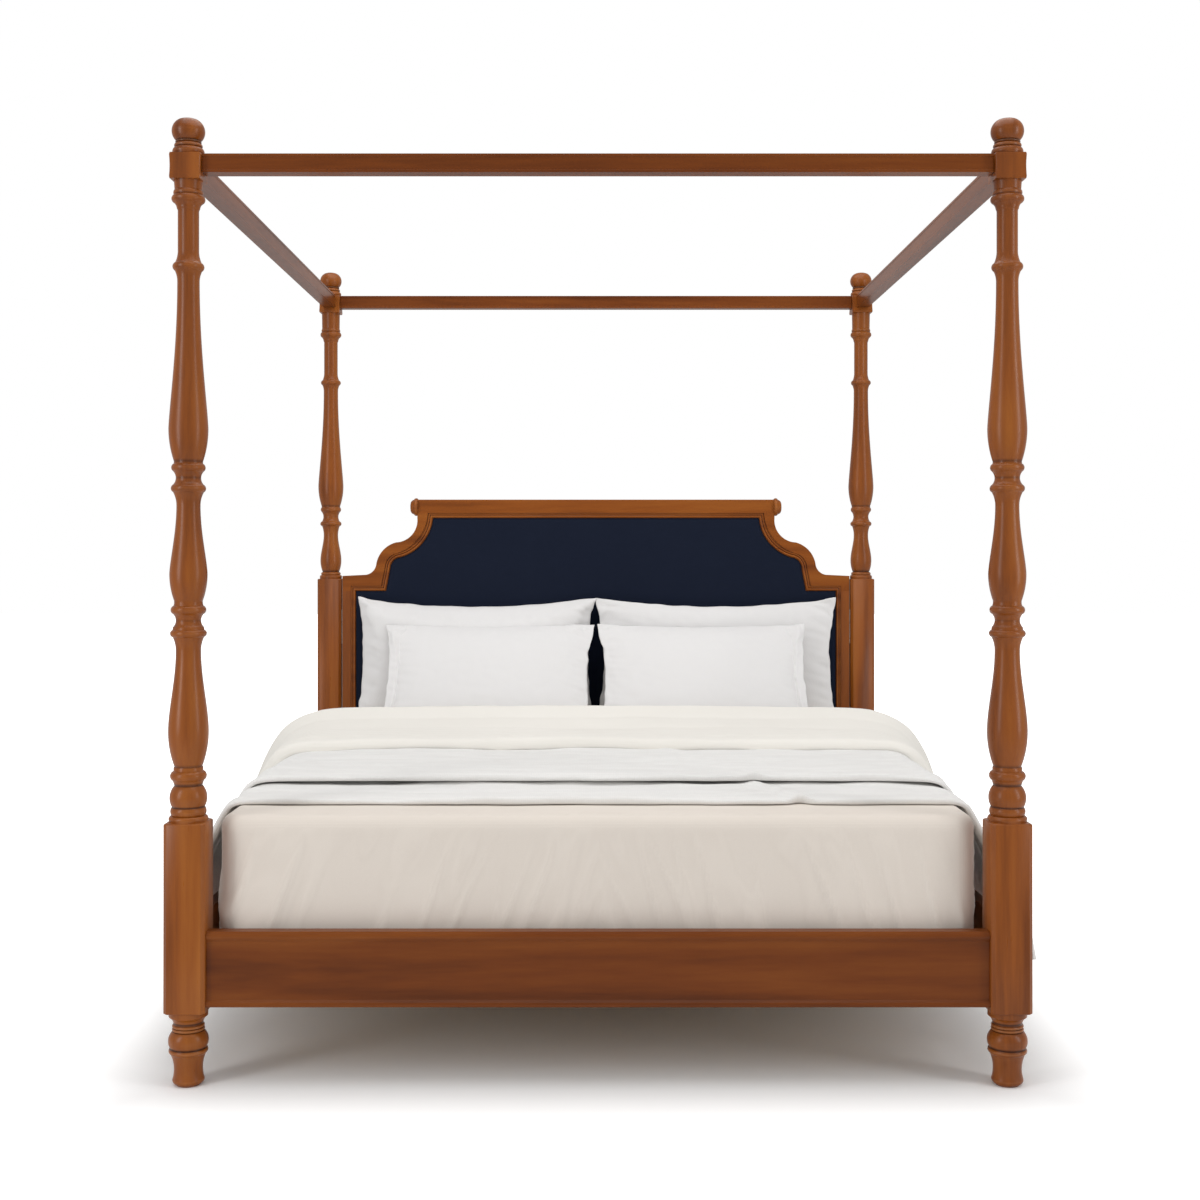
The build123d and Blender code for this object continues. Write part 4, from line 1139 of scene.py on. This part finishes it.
def laid_cloth(name, rows, relief, material, columns=104):
    """Each row: place along the bed, base, thickness, share of the thickness, swing and hem."""
    bm, layers = start_mesh()
    grid = []
    for y, base, thick, share, swing, hem in rows:
        right = half_section(base, thick, share, swing, hem, columns)
        line = [(-x, z) for x, z in right[:0:-1]] + right
        row = []
        for x, z in line:
            hang = max(0.0, min(1.0, (COVER_TOP - 30 - z) / 300))
            wave = hang * (9 * sin(y / 31 + x / 900) + 7 * ripple(y / 70, x / 500, 0, 31))
            dx, dy, dz = relief(x, y, z, share, hang)
            out = 1 if x > 0 else -1
            row.append(bm.verts.new(Vector((x + out * (wave + dx), foot_y / MM + y + dy, z + dz)) * MM))
        grid.append(row)
    grid_faces(bm, grid)
    bmesh.ops.recalc_face_normals(bm, faces=bm.faces)
    return finish_mesh(bm, name, material, 0)


# %% Relief of each cloth
def bump(value, width):
    return exp(-(value / width) ** 2)


def pinch(x, y):
    """Height of the crease that starts at the front edge and runs back across both steps of the throw."""
    centre = 532 - (y - 190) * 0.38
    return bump(x - centre, 24) * (1 - 0.75 * min(1.0, max(0.0, (y - 190) / 420)))


def throw_relief(x, y, z, share, hang):
    flat = 1 - hang
    top = max(0.0, share)
    long_fold = 7.0 * ripple(x / 330, y / 62, 0, 41) + 4.0 * ripple(x / 120, y / 38, 0, 43)
    edge = 7 * ripple(x / 190, 0, y / 2000, 47) + 3 * ripple(x / 55, 0, y / 2000, 49)
    return 1.5 * ripple(y / 60, z / 80, 0, 45) * top, edge + 24 * pinch(x, y) * flat, \
        flat * top * (long_fold + 15 * pinch(x, y)) - 0.5


def duvet_relief(x, y, z, share, hang):
    flat = 1 - hang
    top = max(0.0, share)
    seam = -3.2 * bump(y - 1082, 5) + 2.2 * bump(y - 1068, 9)
    pull = 1.3 * ripple(x / 26, y / 60, 0, 61) * bump(y - 1082, 40)
    puff = 5 * ripple(x / 420, y / 190, 0, 63) + 2.2 * ripple(x / 110, y / 70, 0, 65)
    edge = 6 * ripple(x / 260, 0, 0, 67) + 2 * ripple(x / 60, 0, 0, 69)
    return 2 * ripple(y / 80, z / 90, 0, 71) * top, edge, flat * top * (seam + pull + puff) - 1


def folded_rows(front, back, base, thick, hem, swing):
    """Rows of a folded cloth: back underneath a little, round the front roll and over to its back edge."""
    roll = thick / 2
    rows = [(front + 70, base, thick, 0, swing, hem), (front + roll + 8, base, thick, 0, swing, hem)]
    for step in range(9):
        angle = -pi / 2 + pi * step / 8
        rows.append((front + roll * (1 - cos(angle)), base, thick, 0.5 + 0.5 * sin(angle), swing, hem))
    count = int((back - front - roll) / 14)
    for step in range(1, count + 1):
        y = front + roll + (back - front - roll) * step / count
        rows.append((y, base, thick, 1, swing, hem + 4 * sin(y / 90)))
    return rows


lower = laid_cloth("throw_lower_fold", folded_rows(190, 520, 1, 17, 258, -6), throw_relief, throw_cloth)
upper_rows = folded_rows(440, 1012, 26, 17, 262, -2)
upper = laid_cloth("throw_upper_fold", upper_rows, throw_relief, throw_cloth)
stand_in(lower, "mattress_and_covers", "throw_blanket")
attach(upper, "mattress_and_covers")

# %% Duvet folded back
DUVET = ((1014, 58), (1030, 78), (1100, 86), (1230, 92), (1360, 112), (1450, 144), (1490, 140), (1512, 96))


def duvet_height(y):
    for (y0, z0), (y1, z1) in zip(DUVET, DUVET[1:]):
        if y <= y1:
            return z0 + (z1 - z0) * max(0.0, y - y0) / (y1 - y0)
    return DUVET[-1][1]


def duvet_rows():
    hem, swing = 410, -48
    rows = [(1506, 2, 2, 0, swing, hem), (1200, 2, 2, 0, swing, hem), (1034, 2, 2, 0, swing, hem)]
    for step in range(1, 9):
        angle = -pi / 2 + pi * step / 8
        y = 1016 + 26 * (1 - cos(angle))
        rows.append((y, 3, 74, 0.5 + 0.5 * sin(angle), swing, hem))
    for step in range(1, 50):
        y = 1044 + (1496 - 1044) * step / 49
        rows.append((y, 3, duvet_height(y) - 8, 1, swing, hem + 5 * sin(y / 60)))
    rows.append((1506, 3, 100, 0.7, swing, hem))
    rows.append((1508, 3, 100, 0.2, swing, hem))
    return rows


duvet = laid_cloth("duvet_folded", duvet_rows(), duvet_relief, ivory)
stand_in(duvet, "mattress_and_covers", "duvet_fold")
print("throw and duvet made")

# %% [markdown]
# ## Pillows
# Each pillow is two panels of cotton sewn at the edge and stuffed. The panels start a little slack and
# already hold small puckers from a formula near their seams. A cloth simulation then blows them up from
# inside, which rounds them and settles the puckers. The front pair has an open hem at the outer end: a
# flat flange behind a line of stitches, which isn't stuffed.

# %% Sewn panels
GRID = 9.0                     # distance between points of a panel
WAIST, LIFT = 18.0, 6.0


def pillow_points(width, height, thick, dip, flange, seed):
    """Front and back panel of a standing pillow, with (u, v) of every point. flange is -1, 0 or 1."""
    across, up = int(width / GRID), int(height / GRID)
    panels, keys = [], []
    for face in (-1, 1):
        rows = []
        for j in range(up + 1):
            v = 2 * j / up - 1
            row = []
            for i in range(across + 1):
                u = 2 * i / across - 1
                x = u * width / 2 - (1 if u > 0 else -1) * WAIST * (1 - v * v) * abs(u) ** 3
                z = height * (v + 1) / 2
                z -= (dip * v ** 3 if v > 0 else LIFT * v ** 3) * (1 - u * u)
                x += 5 * ripple(z / 38, u, 0, seed) * abs(u) ** 5
                z += 4 * ripple(x / 60, v, 0, seed + 1) * abs(v) ** 5
                inner = u
                if flange * u > 0:
                    inner = min(1.0, abs(u) / 0.9) * (1 if u > 0 else -1)
                full = ((1 - abs(inner) ** 3) * (1 - abs(v) ** 3.2)) ** 0.62 * (1 - 0.12 * v)
                row.append((x, face * (thick / 2 * 0.9 * full + 1.2 * (1 - u * u) * (1 - v * v)), z))
                keys.append((u, v, face))
            rows.append(row)
        panels.append(rows)
    return panels, keys


def sewn_mesh(name, panels, keys, seed):
    """Both panels joined at their common edge, with a slight unevenness from which creases can grow."""
    bm = bmesh.new()
    grids = []
    number = 0
    for rows in panels:
        grid = []
        for row in rows:
            line = []
            for x, y, z in row:
                u, v, face = keys[number]
                number += 1
                slack = 1.6 * ripple(x / 34, z / 34, face, seed)
                slack += 11 * ripple((z + 0.25 * x) / 19, x / 160, face, seed + 2) * exp(-(1 - abs(u)) / 0.13)
                slack += 8 * ripple(x / 24, z / 130, face, seed + 3) * exp(-(1 - abs(v)) / 0.12)
                slack *= min(1.0, 9 * (1 - abs(u))) * min(1.0, 9 * (1 - abs(v)))
                line.append(bm.verts.new(Vector((x, y + slack, z)) * MM))
            grid.append(line)
        grids.append(grid)
    for grid in grids:
        grid_faces(bm, grid)
    rim = [[grid[0][:], [row[-1] for row in grid[1:]], grid[-1][-2::-1], [row[0] for row in grid[-2:0:-1]]]
           for grid in grids]
    front, back = (sum(sides, []) for sides in rim)
    bmesh.ops.weld_verts(bm, targetmap=dict(zip(back, front)))
    bmesh.ops.recalc_face_normals(bm, faces=bm.faces)
    return finish_mesh(bm, name, cotton, 0)


# %% Stuffing by simulation
SIM_FRAMES = 20
MOST_MOVE = 0.016              # a point stays this close to where it was sewn


def stuff(piece, slack, stitched):
    """Blows the pillow up from inside for a few frames and keeps the resulting shape."""
    sewn = [point.co.copy() for point in piece.data.vertices]
    group = piece.vertex_groups.new(name="stuffed")
    for point in piece.data.vertices:
        group.add([point.index], 0.0 if stitched and point.co.x * stitched > 0 and
                  abs(point.co.x) > stitched_line(sewn) else 1.0, "REPLACE")
    cloth_step = piece.modifiers.new("cloth", "CLOTH")
    settings = cloth_step.settings
    settings.quality = 6
    settings.mass = 0.2
    settings.tension_stiffness = 12
    settings.compression_stiffness = 12
    settings.bending_stiffness = 0.35
    settings.shrink_min = -slack
    settings.use_pressure = True
    settings.uniform_pressure_force = 4.0
    settings.vertex_group_pressure = "stuffed"
    settings.effector_weights.gravity = 0
    cloth_step.point_cache.frame_start = 1
    cloth_step.point_cache.frame_end = SIM_FRAMES
    for frame_number in range(1, SIM_FRAMES + 1):
        bpy.context.scene.frame_set(frame_number)
    blown = piece.evaluated_get(bpy.context.evaluated_depsgraph_get())
    places = [point.co.copy() for point in blown.data.vertices]
    piece.modifiers.remove(cloth_step)
    for point, start, end in zip(piece.data.vertices, sewn, places):
        move = end - start
        if move.length > MOST_MOVE:
            move *= MOST_MOVE / move.length
        point.co = start + move
    bpy.context.scene.frame_set(1)
    if stitched:
        line = stitched_line(sewn)
        for point, start in zip(piece.data.vertices, sewn):
            depth = exp(-((start.x * stitched - line) / 0.004) ** 2) * 0.0035
            point.co.y -= depth * (1 if start.y > 0 else -1) * (1 if abs(start.y) > 0.002 else 0)
    finer = piece.modifiers.new("finer", "SUBSURF")
    finer.levels = finer.render_levels = 1


def stitched_line(sewn):
    return max(point.x for point in sewn) * 0.9


# %% Four pillows
def place_pillow(name, size, flange, seed, at, lean):
    panels, keys = pillow_points(*size, flange, seed)
    piece = sewn_mesh(f"{name}_stuffed", panels, keys, seed)
    stuff(piece, 0.035, flange)
    turn = Matrix.Rotation(radians(-lean), 4, "X")
    piece.data.transform(Matrix.Translation(Vector(at)) @ turn)
    stand_in(piece, name, name)


rest = (COVER_TOP + 1) * MM
for number, (side, sign) in enumerate(SIDES):
    back_at = (sign * 0.454, foot_y + 1.954, rest)
    place_pillow(f"back_pillow_{side}", (922, 514, 140, 36), 0, 100 + number, back_at, 8)
    front_at = (sign * 0.396, foot_y + 1.663, rest)
    place_pillow(f"front_pillow_{side}", (800, 500, 130, 14), sign, 110 + number, front_at, 35)
print("pillows made")
